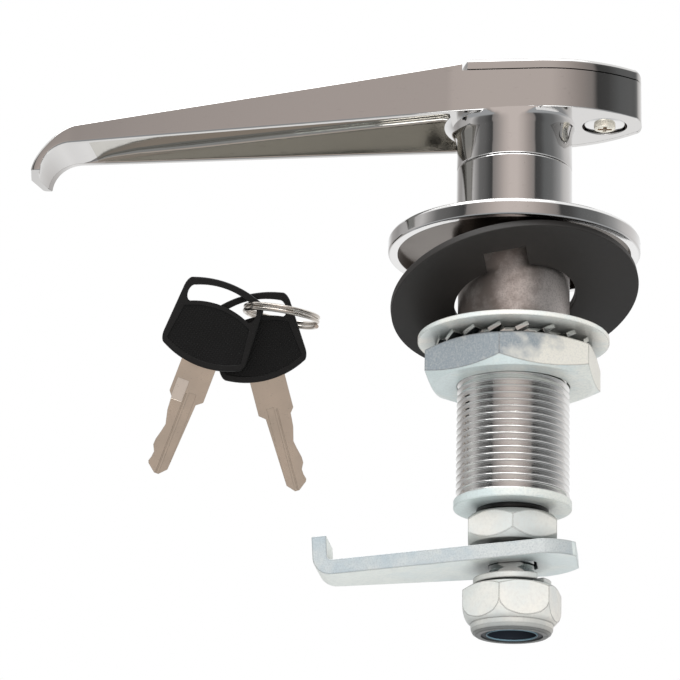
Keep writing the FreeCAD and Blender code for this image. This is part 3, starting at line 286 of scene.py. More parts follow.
def makeSurfaceWear():
    # soft clouds, fine pits and short scratches on a handled metal surface
    group, inside, outside = newGroup("surfaceWear", {"Size": 60.0, "Pits": 0.5, "Scratches": 0.5},
                                      ["Clouds", "Marks", "Height"])
    coords = node(group, "ShaderNodeTexCoord", (-900, 300))
    clouds = node(group, "ShaderNodeTexNoise", (-600, 300), Detail=4.0, Roughness=0.55)
    finer = maths(group, (-780, -120), "MULTIPLY", 26)
    pits = node(group, "ShaderNodeTexNoise", (-600, 0), Detail=3.0, Roughness=0.6)
    pitMask = mapRange(group, (-400, 0), 0.66, 0.74)
    stretch = node(group, "ShaderNodeMapping", (-780, -320), Scale=(0.25, 2.2, 1.2), Rotation=(0.3, 0.5, 0.9))
    scratch = node(group, "ShaderNodeTexNoise", (-600, -320), Detail=2.0, Roughness=0.5)
    scratchMask = mapRange(group, (-400, -320), 0.67, 0.72)
    scaledPits = maths(group, (-200, 0), "MULTIPLY")
    scaledScratch = maths(group, (-200, -320), "MULTIPLY")
    marks = maths(group, (0, -160), "MAXIMUM")
    height = maths(group, (200, -60), "SUBTRACT")
    wire(group, (coords, "Object", clouds, "Vector"), (coords, "Object", pits, "Vector"),
         (coords, "Object", stretch, "Vector"), (stretch, "Vector", scratch, "Vector"),
         (inside, "Size", clouds, "Scale"), (inside, "Size", finer, 0), (finer, 0, pits, "Scale"),
         (finer, 0, scratch, "Scale"), (pits, "Fac", pitMask, "Value"),
         (scratch, "Fac", scratchMask, "Value"),
         (pitMask, "Result", scaledPits, 0), (inside, "Pits", scaledPits, 1),
         (scratchMask, "Result", scaledScratch, 0), (inside, "Scratches", scaledScratch, 1),
         (scaledPits, 0, marks, 0), (scaledScratch, 0, marks, 1), (clouds, "Fac", height, 0),
         (marks, 0, height, 1),
         (clouds, "Fac", outside, "Clouds"), (marks, 0, outside, "Marks"), (height, 0, outside, "Height"))
    return group


def makeZincFilm():
    # the film on plated steel: it drifts from blue to straw at random, and Lean tilts that drift along X into
    # painted side shade; painted shade darkens edges and corners, and painted shadow fills narrow gaps
    group, inside, outside = newGroup(
        "zincFilm", {"Size": 90.0, "Lean": 0.0, "Edges": 0.5, "Crevices": 0.5, "Blue": (0.72, 0.76, 0.78),
                     "Straw": (0.80, 0.79, 0.70), "Grey": (0.66, 0.68, 0.67)},
                     ["Color", "Roughness", "Height"])
    coords = node(group, "ShaderNodeTexCoord", (-1100, 300))
    split = node(group, "ShaderNodeSeparateXYZ", (-900, 460))
    # the film's random drift plus X times Lean: painted side shade that turns one side towards the blue
    # colour and the other towards straw
    driftAndSideShade = maths(group, (-560, 460), "MULTIPLY_ADD")
    drift = node(group, "ShaderNodeTexNoise", (-760, 300), Detail=4.0, Roughness=0.6)
    fine = maths(group, (-900, -60), "MULTIPLY", 26)
    grain = node(group, "ShaderNodeTexNoise", (-740, 0), Detail=5.0, Roughness=0.7)
    strawMask = mapRange(group, (-380, 340), 0.42, 0.6)
    greyMask = mapRange(group, (-500, 0), 0.45, 0.75, 0, 0.75)
    rough = mapRange(group, (40, -160), 0.3, 0.7, 0.3, 0.46)
    # painted shade along edges and corners: where the Bevel normal turns from the surface normal, the colour
    # goes towards dark grey, as far as Edges asks
    corner = node(group, "ShaderNodeBevel", (-760, -340), Radius=0.0004)
    surface = node(group, "ShaderNodeNewGeometry", (-760, -480))
    turned = node(group, "ShaderNodeVectorMath", (-560, -400), operation="DOT_PRODUCT")
    edgeShadeMask = mapRange(group, (-380, -400), 0.998, 0.96)
    edgeShadeShare = maths(group, (-180, -400), "MULTIPLY")
    # painted shadow in narrow gaps: where Ambient Occlusion finds the surface shut in, the colour goes
    # towards near-black, as far as Crevices asks
    openness = node(group, "ShaderNodeAmbientOcclusion", (-760, -680), Distance=0.0035)
    shut = maths(group, (-560, -680), "SUBTRACT")
    shut.inputs[0].default_value = 1
    gapShadowShare = maths(group, (-180, -680), "MULTIPLY")
    first = mixColours(group, (-180, 260), (inside, "Blue"), (inside, "Straw"))
    second = mixColours(group, (20, 200), (first, mixedColour), (inside, "Grey"))
    third = mixColours(group, (220, 120), (second, mixedColour), (0.16, 0.15, 0.14))
    fourth = mixColours(group, (420, 60), (third, mixedColour), (0.03, 0.035, 0.035))
    wire(group, (coords, "Object", drift, "Vector"), (coords, "Object", grain, "Vector"),
         (coords, "Object", split, 0), (split, "X", driftAndSideShade, 0), (inside, "Lean", driftAndSideShade, 1),
         (drift, "Fac", driftAndSideShade, 2), (inside, "Size", drift, "Scale"), (inside, "Size", fine, 0),
         (fine, 0, grain, "Scale"), (driftAndSideShade, 0, strawMask, "Value"), (grain, "Fac", greyMask, "Value"),
         (grain, "Fac", rough, "Value"), (rough, "Result", outside, "Roughness"),
         (grain, "Fac", outside, "Height"),
         (corner, 0, turned, 0), (surface, "Normal", turned, 1), (turned, "Value", edgeShadeMask, "Value"),
         (edgeShadeMask, "Result", edgeShadeShare, 0), (inside, "Edges", edgeShadeShare, 1), (openness, "AO", shut, 1),
         (shut, 0, gapShadowShare, 0), (inside, "Crevices", gapShadowShare, 1), (strawMask, "Result", first, "Factor"),
         (greyMask, "Result", second, "Factor"), (edgeShadeShare, 0, third, "Factor"),
         (gapShadowShare, 0, fourth, "Factor"),
         (fourth, mixedColour, outside, "Color"))
    return group


def makeMouldGrain():
    # the fine erosion grain of moulded plastic and rubber
    group, inside, outside = newGroup(
        "mouldGrain", {"Size": 900.0, "Dark": (0.012, 0.012, 0.013), "Light": (0.03, 0.03, 0.032)},
        ["Color", "Roughness", "Height"])
    coords = node(group, "ShaderNodeTexCoord", (-900, 300))
    grain = node(group, "ShaderNodeTexNoise", (-600, 200), Detail=3.0, Roughness=0.6)
    coarse = maths(group, (-780, -60), "MULTIPLY", 0.08)
    dust = node(group, "ShaderNodeTexNoise", (-600, -60), Detail=4.0, Roughness=0.6)
    both = mixColours(group, (-100, 200), (inside, "Dark"), (inside, "Light"))
    rough = mapRange(group, (-100, -60), 0, 1, 0.42, 0.62)
    wire(group, (coords, "Object", grain, "Vector"), (coords, "Object", dust, "Vector"),
         (inside, "Size", grain, "Scale"), (inside, "Size", coarse, 0), (coarse, 0, dust, "Scale"),
         (dust, "Fac", both, "Factor"), (dust, "Fac", rough, "Value"), (both, mixedColour, outside, "Color"),
         (rough, "Result", outside, "Roughness"), (grain, "Fac", outside, "Height"))
    return group


surfaceWear = makeSurfaceWear()
zincFilm = makeZincFilm()
mouldGrain = makeMouldGrain()

# polished and plated metal: its colour, the colour of its wear, and how rough it is
platedFinishes = {
    # the same chrome as handleChrome, darkened: painted shade on the lever, head and dust cover
    "leverChrome": {"colour": (0.67, 0.66, 0.65), "worn": (0.52, 0.51, 0.5), "rough": (0.045, 0.1),
                    "size": 45.0, "pits": 0.25, "scratches": 0.2, "bump": 0.02},
    "handleChrome": {"colour": (0.82, 0.815, 0.81), "worn": (0.62, 0.6, 0.58), "rough": (0.045, 0.1),
                     "size": 45.0, "pits": 0.25, "scratches": 0.2, "bump": 0.02},
    "housingChrome": {"colour": (0.82, 0.815, 0.81), "worn": (0.66, 0.66, 0.66), "rough": (0.04, 0.12),
                      "size": 70.0, "pits": 0.6, "scratches": 0.3, "bump": 0.03},
    # the recess under the flange: rough and pitted, coloured dark as painted shade in the recess
    "flangeRecessShade": {"colour": (0.13, 0.11, 0.095), "worn": (0.1, 0.09, 0.08), "rough": (0.12, 0.3),
                   "size": 90.0, "pits": 0.8, "scratches": 0.2, "bump": 0.08},
    # the hollow under the lever: the same chrome, darker and warmer, as painted shade in the hollow
    "leverHollowShade": {"colour": (0.56, 0.545, 0.51), "worn": (0.42, 0.4, 0.36), "rough": (0.06, 0.16),
                    "size": 60.0, "pits": 0.5, "scratches": 0.4, "bump": 0.04},
    "starSteel": {"colour": (0.8, 0.81, 0.79), "worn": (0.2, 0.2, 0.19), "rough": (0.1, 0.24),
                  "size": 200.0, "pits": 0.6, "scratches": 0.6, "bump": 0.1},
    # near-black spring steel, and painted shade for the deep gap between stop washer and jam nut
    "blackSpringAndShade": {"colour": (0.06, 0.06, 0.06), "worn": (0.03, 0.03, 0.03), "rough": (0.35, 0.5),
                   "size": 200.0, "pits": 0.3, "scratches": 0.3, "bump": 0.04},
    "threadChrome": {"colour": (0.9, 0.9, 0.89), "worn": (0.55, 0.55, 0.54), "rough": (0.12, 0.22),
                     "size": 120.0, "pits": 0.0, "scratches": 0.3, "bump": 0.05},
    "cylinderChrome": {"colour": (0.8, 0.79, 0.77), "worn": (0.6, 0.59, 0.57), "rough": (0.08, 0.18),
                       "size": 90.0, "pits": 0.3, "scratches": 0.4, "bump": 0.02},
    "nickelWire": {"colour": (0.72, 0.67, 0.61), "worn": (0.5, 0.46, 0.42), "rough": (0.12, 0.25),
                   "size": 150.0, "pits": 0.2, "scratches": 0.5, "bump": 0.02},
    "keyNickel": {"colour": (0.73, 0.65, 0.55), "worn": (0.5, 0.46, 0.4), "rough": (0.26, 0.4),
                  "size": 160.0, "pits": 0.4, "scratches": 0.7, "bump": 0.05},
    "keyMilled": {"colour": (0.95, 0.9, 0.82), "worn": (0.6, 0.56, 0.5), "rough": (0.3, 0.42),
                  "size": 200.0, "pits": 0.3, "scratches": 0.9, "bump": 0.05},
    # the walls and floor of the screw's cross recess: dark brown, as painted shade in the recess
    "screwCrossShade": {"colour": (0.22, 0.13, 0.06), "worn": (0.12, 0.08, 0.05), "rough": (0.3, 0.5),
                   "size": 200.0, "pits": 0.3, "scratches": 0.4, "bump": 0.03, "metallic": 0.3},
    "screwSteel": {"colour": (0.9, 0.86, 0.75), "worn": (0.6, 0.56, 0.46), "rough": (0.18, 0.3),
                   "size": 200.0, "pits": 0.3, "scratches": 0.4, "bump": 0.03, "metallic": 0.55},
    "plainSteel": {"colour": (0.56, 0.56, 0.57), "worn": (0.36, 0.35, 0.35), "rough": (0.25, 0.4),
                   "size": 140.0, "pits": 0.4, "scratches": 0.5, "bump": 0.05},
    "threadZinc": {"colour": (0.62, 0.66, 0.66), "worn": (0.4, 0.4, 0.38), "rough": (0.2, 0.34),
                   "size": 130.0, "pits": 0.4, "scratches": 0.4, "bump": 0.04},
    "waferBrass": {"colour": (0.75, 0.58, 0.32), "worn": (0.5, 0.38, 0.2), "rough": (0.25, 0.38),
                   "size": 180.0, "pits": 0.3, "scratches": 0.6, "bump": 0.04},
}

# passivated zinc and bare castings: lean is how fast blue turns to straw along X, painted side shade that
# darkens one side and lightens the other; edges and crevices set how strong the painted edge shade and the
# painted shadow in narrow gaps are
zincFinishes = {
    "zincPlate": {"size": 90.0, "metallic": 0.35, "lean": 2.0, "edges": 0.4, "crevices": 0.7,
                  "blue": (0.8, 0.86, 0.84), "straw": (0.93, 0.91, 0.84), "grey": (0.72, 0.75, 0.73)},
    "zincStop": {"size": 90.0, "metallic": 0.4, "lean": 6.0, "edges": 0.3, "crevices": 0.2,
                 "blue": (0.68, 0.77, 0.77), "straw": (0.82, 0.84, 0.79), "grey": (0.58, 0.63, 0.63)},
    # zincNut's dark blue and strong lean paint the left of the mounting nut into shade and its right into
    # light
    "zincNut": {"size": 110.0, "metallic": 0.5, "lean": 17.0, "edges": 0.8, "crevices": 0.9,
                "blue": (0.33, 0.38, 0.42), "straw": (0.9, 0.88, 0.8), "grey": (0.66, 0.66, 0.63)},
    "zincBright": {"size": 60.0, "metallic": 0.4, "lean": 6.0, "edges": 0.8, "crevices": 0.9,
                   "blue": (0.76, 0.79, 0.77), "straw": (0.88, 0.86, 0.8), "grey": (0.72, 0.71, 0.68)},
    "zincCam": {"size": 55.0, "metallic": 0.45, "lean": -3.0, "edges": 0.5, "crevices": 0.9,
                "blue": (0.76, 0.84, 0.84), "straw": (0.86, 0.9, 0.86), "grey": (0.74, 0.8, 0.79)},
    # the bare barrel: cast grain, with a strong lean painting its left side dark brown as painted shade and
    # its right light, and painted shadow under the gasket
    "castBarrel": {"size": 120.0, "metallic": 0.9, "lean": 14.0, "edges": 0.0, "crevices": 1.0,
                   "blue": (0.42, 0.36, 0.33), "straw": (0.9, 0.84, 0.81), "grey": (0.4, 0.36, 0.34)},
    # a darker, bluer copy of the cam's zinc for its faces turned to the front: painted shade on that side
    "zincCamShadedFront": {"size": 140.0, "metallic": 0.5, "lean": 0.0, "edges": 0.5, "crevices": 0.9,
                    "blue": (0.52, 0.6, 0.64), "straw": (0.66, 0.7, 0.7), "grey": (0.36, 0.41, 0.44)},
}

# plastic and rubber; knurl is the distance between fine diagonal grooves
mouldedFinishes = {
    "keyPlastic": {"size": 1500.0, "dark": (0.005, 0.005, 0.005), "light": (0.008, 0.008, 0.008),
                   "bump": 0.2, "shine": 0.3},
    "gasketRubber": {"size": 700.0, "dark": (0.01, 0.0095, 0.009), "light": (0.022, 0.019, 0.017),
                     "bump": 0.05, "shine": 0.6},
    "keyField": {"size": 1500.0, "dark": (0.004, 0.004, 0.004), "light": (0.007, 0.007, 0.007),
                 "bump": 0.15, "shine": 0.2, "knurl": 0.55},
    # light blue for the nylon ring's lip: a painted highlight
    "nylonLip": {"size": 900.0, "dark": (0.22, 0.36, 0.44), "light": (0.3, 0.46, 0.54),
                 "bump": 0.05, "shine": 0.5},
    "nylonBlack": {"size": 900.0, "dark": (0.012, 0.016, 0.024), "light": (0.03, 0.036, 0.05),
                   "bump": 0.05, "shine": 0.5},
}


def makeFinish(name, group, s, depth):
    # a Principled material fed by a shared group, whose inputs carry the names of the settings
    material = bpy.data.materials.new(name)
    material.use_nodes = True
    tree = material.node_tree
    shader = tree.nodes["Principled BSDF"]
    shader.inputs["Metallic"].default_value = s.get("metallic", 1 if group is surfaceWear else 0)
    shader.inputs["Specular IOR Level"].default_value = s.get("shine", 0.5)
    look = node(tree, "ShaderNodeGroup", (-700, 100), node_tree=group)
    for entry in look.inputs:
        value = s[entry.name.lower()]
        entry.default_value = (*value, 1) if isinstance(value, tuple) else value
    bump = node(tree, "ShaderNodeBump", (-300, -300), Strength=s.get("bump", 0.08), Distance=depth)
    wire(tree, (look, "Height", bump, "Height"), (bump, "Normal", shader, "Normal"))
    if "colour" in s:
        tint = mixColours(tree, (-400, 200), s["colour"], s["worn"])
        rough = mapRange(tree, (-400, -60), 0.35, 0.65, *s["rough"])
        wire(tree, (look, "Marks", tint, "Factor"), (tint, mixedColour, shader, "Base Color"),
             (look, "Clouds", rough, "Value"), (rough, "Result", shader, "Roughness"))
    else:
        wire(tree, (look, "Color", shader, "Base Color"), (look, "Roughness", shader, "Roughness"))
    if "knurl" in s:
        addKnurl(tree, bump, s["knurl"])
    return material


def addKnurl(tree, bump, pitch):
    # two sets of fine diagonal grooves under the grain
    coords = node(tree, "ShaderNodeTexCoord", (-1300, -500))
    both = maths(tree, (-700, -500), "MULTIPLY")
    for entry, turn in enumerate((0.9, -0.6)):
        lay = node(tree, "ShaderNodeMapping", (-1100, -500), Rotation=(0, turn, 0))
        wave = node(tree, "ShaderNodeTexWave", (-900, -500), Scale=math.tau / 20 / (pitch * mm))
        wire(tree, (coords, "Object", lay, "Vector"), (lay, "Vector", wave, "Vector"),
             (wave, "Fac", both, entry))
    raised = node(tree, "ShaderNodeBump", (-500, -500), Strength=0.8, Distance=0.0001)
    wire(tree, (both, 0, raised, "Height"), (raised, "Normal", bump, "Normal"))


finishes = {}
for table, group, depth in ((platedFinishes, surfaceWear, 0.0004), (zincFinishes, zincFilm, 0.0004),
                            (mouldedFinishes, mouldGrain, 0.0003)):
    for finishName, setup in table.items():
        finishes[finishName] = makeFinish(finishName, group, setup, depth)
print("finishes ready")


# mesh helpers, all in millimetres until a piece is finished

def ring(bm, points, closed=True):
    # vertices joined into one run of edges
    verts = [bm.verts.new(p) for p in points]
    pairs = list(zip(verts, verts[1:])) + ([(verts[-1], verts[0])] if closed else [])
    return verts, [bm.edges.new(pair) for pair in pairs]


def bevelled(bm, parts, radius, segments=2, affect="EDGES"):
    bmesh.ops.bevel(bm, geom=parts, offset=radius, segments=segments, profile=0.5, affect=affect,
                    material=-1, offset_type="OFFSET")


def moved(bm, *vec):
    bmesh.ops.translate(bm, verts=bm.verts, vec=vec)


def spun(profile, steps=160, rounds=None, closed=True, segments=3):
    # a profile of radius and height turned about the lock's axis; rounds holds a radius by corner number
    bm = bmesh.new()
    verts, _ = ring(bm, [(r, 0, z) for r, z in profile], closed)
    for corner, radius in (rounds or {}).items():
        bevelled(bm, [verts[corner]], radius, segments, "VERTICES")
    bmesh.ops.spin(bm, geom=bm.verts[:] + bm.edges[:], cent=(0, 0, 0), axis=(0, 0, 1), angle=math.tau,
                   steps=steps, use_merge=True)
    bmesh.ops.remove_doubles(bm, verts=bm.verts, dist=1e-5)
    bmesh.ops.recalc_face_normals(bm, faces=bm.faces)
    return bm


def slab(points, low, high):
    # a flat outline pulled up into a solid
    bm = bmesh.new()
    verts = [bm.verts.new((x, y, low)) for x, y in points]
    face = bm.faces.new(verts)
    raised = bmesh.ops.extrude_face_region(bm, geom=[face])
    bmesh.ops.translate(bm, verts=[v for v in raised["geom"] if isinstance(v, bmesh.types.BMVert)],
                        vec=(0, 0, high - low))
    bmesh.ops.recalc_face_normals(bm, faces=bm.faces)
    return bm


def rod(radius, low, high, x=0, y=0, steps=64):
    bm = bmesh.new()
    bmesh.ops.create_cone(bm, cap_ends=True, segments=steps, radius1=radius, radius2=radius,
                          depth=high - low)
    moved(bm, x, y, (low + high) / 2)
    return bm


def brick(low, high):
    bm = bmesh.new()
    bmesh.ops.create_cube(bm, size=1)
    size = [b - a for a, b in zip(low, high)]
    bmesh.ops.scale(bm, verts=bm.verts, vec=size)
    moved(bm, *((a + b) / 2 for a, b in zip(low, high)))
    return bm


def applied(piece):
    # the mesh with its modifiers worked in
    bpy.context.view_layer.update()
    mesh = bpy.data.meshes.new_from_object(piece.evaluated_get(bpy.context.evaluated_depsgraph_get()))
    bm = bmesh.new()
    bm.from_mesh(mesh)
    bpy.data.meshes.remove(mesh)
    return bm


def carve(bm, cutters, operation="DIFFERENCE"):
    # cuts each shape out of the first, or keeps what they share
    base = asObject("carving", bm)
    tools = [asObject("cutter", cutter) for cutter in cutters]
    for tool in tools:
        step = base.modifiers.new("carve", "BOOLEAN")
        step.operation = operation
        step.solver = "EXACT"
        step.object = tool
    result = applied(base)
    for used in [base] + tools:
        mesh = used.data
        bpy.data.objects.remove(used)
        bpy.data.meshes.remove(mesh)
    bmesh.ops.remove_doubles(result, verts=result.verts, dist=1e-4)
    return result


def joined(*parts):
    # several closed shapes in one mesh, each with its own material number
    whole = bmesh.new()
    for number, part in enumerate(parts):
        for face in part.faces:
            face.material_index = face.material_index or number
        mesh = bpy.data.meshes.new("part")
        part.to_mesh(mesh)
        part.free()
        whole.from_mesh(mesh)
        bpy.data.meshes.remove(mesh)
    return whole


def smoothShading(piece, angle=32):
    mesh = piece.data
    bm = bmesh.new()
    bm.from_mesh(mesh)
    for face in bm.faces:
        face.smooth = True
    for edge in bm.edges:
        edge.smooth = len(edge.link_faces) == 2 and edge.calc_face_angle(0) < math.radians(angle)
    bm.to_mesh(mesh)
    bm.free()


def evenNormals(piece):
    weigh = piece.modifiers.new("evenNormals", "WEIGHTED_NORMAL")
    weigh.keep_sharp = True


def finishPiece(name, bm, body, finish, stands=(), edge=0.0, limit=40, shade=32, place=None,
                even=True):
    # to metres, onto its body, with a finish for each material number; edge rounds the sharp corners
    if place:
        bmesh.ops.transform(bm, matrix=place, verts=bm.verts)
    bmesh.ops.scale(bm, verts=bm.verts, vec=(mm, mm, mm))
    piece = asObject(name, bm)
    names = [finish] if isinstance(finish, str) else finish
    for finishName in names:
        piece.data.materials.append(finishes[finishName])
    for face in piece.data.polygons:
        face.material_index = min(face.material_index, len(names) - 1)
    if edge:
        roundOff(piece, edge, limit)
    smoothShading(piece, shade)
    if even:
        evenNormals(piece)
    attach(piece, body)
    if stands:
        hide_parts(*stands)
    return piece


def roundOff(piece, edge, limit):
    soften = piece.modifiers.new("softEdges", "BEVEL")
    soften.width = edge * mm
    soften.segments = 2
    soften.limit_method = "ANGLE"
    soften.angle_limit = math.radians(limit)
    soften.harden_normals = False
    soften.use_clamp_overlap = True


def finishNode(name, finish, edge):
    # a solid whose shape stays: its loose triangles are welded, its corners softened
    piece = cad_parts[name]
    piece.data.materials.clear()
    piece.data.materials.append(finishes[finish])
    for face in piece.data.polygons:
        face.use_smooth = True
    weld = piece.modifiers.new("weld", "WELD")
    weld.merge_threshold = 1e-6
    flat = piece.modifiers.new("flatFaces", "DECIMATE")
    flat.decimate_type = "DISSOLVE"
    flat.angle_limit = math.radians(0.6)
    roundOff(piece, edge, 34)
    evenNormals(piece)


def between(keys, at):
    # a value that runs straight from key to key
    for (a, low), (b, high) in zip(keys, keys[1:]):
        if a <= at <= b:
            share = (at - a) / (b - a)
            if isinstance(low, tuple):
                return tuple(p + (q - p) * share for p, q in zip(low, high))
            return low + (high - low) * share
    return keys[0][1] if at < keys[0][0] else keys[-1][1]


def arcPoints(centre, radius, start, end, steps):
    return [(centre[0] + radius * math.cos(math.radians(start + (end - start) * i / steps)),
             centre[1] + radius * math.sin(math.radians(start + (end - start) * i / steps)))
            for i in range(steps + 1)]


# handle

handleShape = {
    "hubRadius": 11.5, "hubBottom": 17.8, "underside": 27.2, "topEdge": 0.55, "underEdge": 0.35, "rim": 1.5,
    "seat": 35.2, "pivot": 18.0, "seatRadius": 30.1, "counterbore": (4.5, 2.2), "cylinder": 7.03,
    "top": 37.0, "rise": 0.11656, "roof": 2.3,
    # where the neck flares into the head: how far out, how far up
    "flare": [(0.0, 0.0), (0.08, 0.5), (0.25, 1.0), (0.5, 1.45), (0.85, 1.85), (1.3, 2.2), (1.9, 2.45),
              (2.6, 2.6)],
    "pinHole": {"radius": 1.1, "height": 23.7, "turn": -25.0},
    # along the lever: place, half width
    "widths": [(-98, 6.3), (-95, 6.5), (-89, 6.85), (-77, 7.68), (-60, 8.67), (-45, 9.54), (-33, 10.25),
               (-22, 11.0), (-12, 11.76), (-8, 11.8), (4, 11.8)],
    # the slices between tip and nose, and how deep the hollow is near the tip and at its root
    "slices": [-87.5, -86, -84.5, -83, -81, -78, -74, -69, -63, -56, -48, -40, -32, -25, -20, -17, -15.5,
               -14.2, -13.4, -12.8, -12.2, -11.5, -10, -8, -5, -2, 1, 4, 6.5, 9, 11.5, 14, 16, 18,
               19.5, 21, 22.2, 23.2, 24.0, 24.5, 24.85, 25.1, 25.26, 25.36],
    "hollowTip": [(-90, 0.0), (-87, 0.3), (-84.5, 1.3), (-82, 1.9), (-78, 2.2)],
    "hollowRoot": [(-14.4, 1.0), (-13.4, 0.75), (-12.8, 0.35), (-12.2, 0.0)],
    # at the tip: outer point, inner point, half width, bulge
    "tip": [((-88.6, 27.75), (-89.0, 23.88), 6.85, 0.0), ((-89.7, 27.35), (-90.0, 23.82), 6.8, 0.02),
            ((-90.8, 26.80), (-90.95, 23.62), 6.75, 0.06), ((-92.0, 26.0), (-91.85, 23.28), 6.7, 0.15),
            ((-93.2, 24.98), (-92.65, 22.83), 6.65, 0.3), ((-94.3, 23.8), (-93.4, 22.28), 6.6, 0.5),
            ((-95.25, 22.6), (-94.05, 21.6), 6.55, 0.75), ((-96.0, 21.4), (-94.6, 20.75), 6.5, 1.0),
            ((-96.55, 20.3), (-95.0, 19.85), 6.45, 1.2), ((-96.9, 19.2), (-95.2, 18.95), 6.4, 1.35),
            ((-97.05, 18.5), (-95.25, 18.35), 6.35, 1.42), ((-97.0, 18.25), (-95.35, 18.17), 6.2, 1.42)],
}


def headHalfWidth(x):
    s = handleShape
    if x <= 4:
        return between(s["widths"], x)
    if x <= 24.2:
        return 11.8 - (29 - math.sqrt(29 ** 2 - max(x - 5, 0) ** 2))
    return 4.53 * math.sqrt(max(1 - ((x - 24.2) / 1.2) ** 2, 0.0004))


def leverSection(outer, inner, half, recess, bulge):
    # one slice of the lever: rounded back, thin rims and a hollow between them
    s = handleShape
    across = Vector((outer[0] - inner[0], 0, outer[1] - inner[1]))
    depth = across.length
    across.normalize()
    top, low = min(s["topEdge"], depth * 0.3, half * 0.4), min(s["underEdge"], depth * 0.15, half * 0.2)
    recess = max(recess, 0.02)
    lip, roof = min(0.35, recess / 3), min(1.1, recess / 3)
    wall = max(half - s["rim"], half * 0.2)
    points = arcPoints((half - low, low), low, -90, 0, 3)
    points += arcPoints((half - top, depth - top), top, 0, 90, 4)
    points += [(0.0, depth)]
    points += [(-y, t) for y, t in reversed(points[:-1])]
    left = arcPoints((-(wall + lip), lip), lip, -90, 0, 2)
    left += arcPoints((-(wall - roof), recess - roof), roof, 180, 90, 4)
    points += left + [(0.0, recess)] + [(-y, t) for y, t in reversed(left)]
    made = []
    for y, t in points:
        push = bulge * (1 - min(abs(y) / half, 1) ** 2)
        made.append(Vector((inner[0], y, inner[1])) + across * (t + push))
    return made


def leverUnder(x):
    return 27.0 + 0.0352 * x if x < 0 else min(27.0 + 0.1 * x, handleShape["underside"])


def leverTop(x):
    s = handleShape
    return s["top"] + min(0, -0.1 + s["rise"] * (x + 10)) if x < -10 else s["top"]


def makeHandle():
    s = handleShape
    slices = []
    for outer, inner, half, bulge in reversed(s["tip"]):
        slices.append(leverSection(outer, inner, half, 0.0, bulge))
    for x in s["slices"]:
        top, under = leverTop(x), leverUnder(x)
        full = (top - under) - s["roof"]
        recess = between(s["hollowTip"], x) if x < -78 else full
        if x > -14.4:
            recess = full * between(s["hollowRoot"], x)
        recess = min(recess, full)
        slices.append(leverSection((x, top), (x, under), headHalfWidth(x), max(recess, 0.0), 0.0))
    bm = bmesh.new()
    loops = [ring(bm, points)[1] for points in slices]
    for first, second in zip(loops, loops[1:]):
        bmesh.ops.bridge_loops(bm, edges=first + second)
    bmesh.ops.edgeloop_fill(bm, edges=loops[0])
    bmesh.ops.edgeloop_fill(bm, edges=loops[-1])
    bmesh.ops.remove_doubles(bm, verts=bm.verts, dist=1e-5)
    bmesh.ops.recalc_face_normals(bm, faces=bm.faces)
    radius, depth = s["counterbore"]
    seat = rod(s["seatRadius"], s["seat"], 45, s["pivot"], steps=220)
    bore = rod(radius, 20, s["underside"] + depth, s["pivot"])
    lever = carve(bm, [seat, bore, rod(s["cylinder"], 20, 45, steps=96)])
    # faces in the hollow under the lever take the second, darker finish: painted shade
    for face in lever.faces:
        x, y, z = face.calc_center_median()
        hollow = -85.5 < x < -12.2 and abs(y) < headHalfWidth(x) - s["rim"] + 0.3
        inside = 27.2 + 0.0352 * x < z < 35.2 + s["rise"] * (x + 10)
        face.material_index = 1 if hollow and inside else 0
    return lever


def makeHub():
    s = handleShape
    radius, low, top = s["hubRadius"], s["hubBottom"], s["underside"] + 0.12
    flareOut, flareUp = s["flare"][-1]
    profile = [(0, low), (radius, low)] + [(radius, low + 3 + 0.45 * i) for i in range(9)]
    profile += [(radius + out, s["underside"] - flareUp + up) for out, up in s["flare"]]
    profile += [(radius + flareOut, top), (0, top)]
    hub = spun(profile, steps=192, rounds={1: 0.35}, closed=False)
    for vert in hub.verts:
        # the flare fades on the side away from the lever, and stays inside the head's sides
        reach = vert.co.xy.length
        if vert.co.x > 0 and reach > radius:
            side = min(vert.co.x / reach, 1)
            vert.co.xy *= (radius + (reach - radius) * (1 - 0.72 * side)) / reach
        limit = headHalfWidth(vert.co.x) - (0.012 if abs(vert.co.x) < 4.5 else 0.1)
        vert.co.y = max(-limit, min(limit, vert.co.y))
    hole = s["pinHole"]
    turn = math.radians(hole["turn"])
    cutter = rod(hole["radius"], -4, 3, steps=32)
    for vert in cutter.verts:
        vert.co.y *= 1.45 if vert.co.y > 0 else 1.6 + 0.25 * vert.co.y
    lay = Matrix.Rotation(turn, 4, "Z") @ Matrix.Translation((11.6, 0, hole["height"])) @ Matrix(
        ((0, 0, 1, 0), (1, 0, 0, 0), (0, 1, 0, 0), (0, 0, 0, 1)))
    bmesh.ops.transform(cutter, matrix=lay, verts=cutter.verts)
    return carve(hub, [cutter, rod(s["cylinder"], 10, 45, steps=96)])


finishPiece("handleCasting", makeHandle(), "handle", ["leverChrome", "leverHollowShade"],
            ["handle"], edge=0.12, limit=50)
finishPiece("handleHub", makeHub(), "handle", "handleChrome", even=False)
print("handle made")


# dust cover and its screw

coverShape = {"low": 35.42, "high": 37.65, "reach": 29.1, "edge": 0.75, "underEdge": 0.2, "half": 11.75,
              "inset": 0.05, "boss": (2.6, 29.35, 36)}


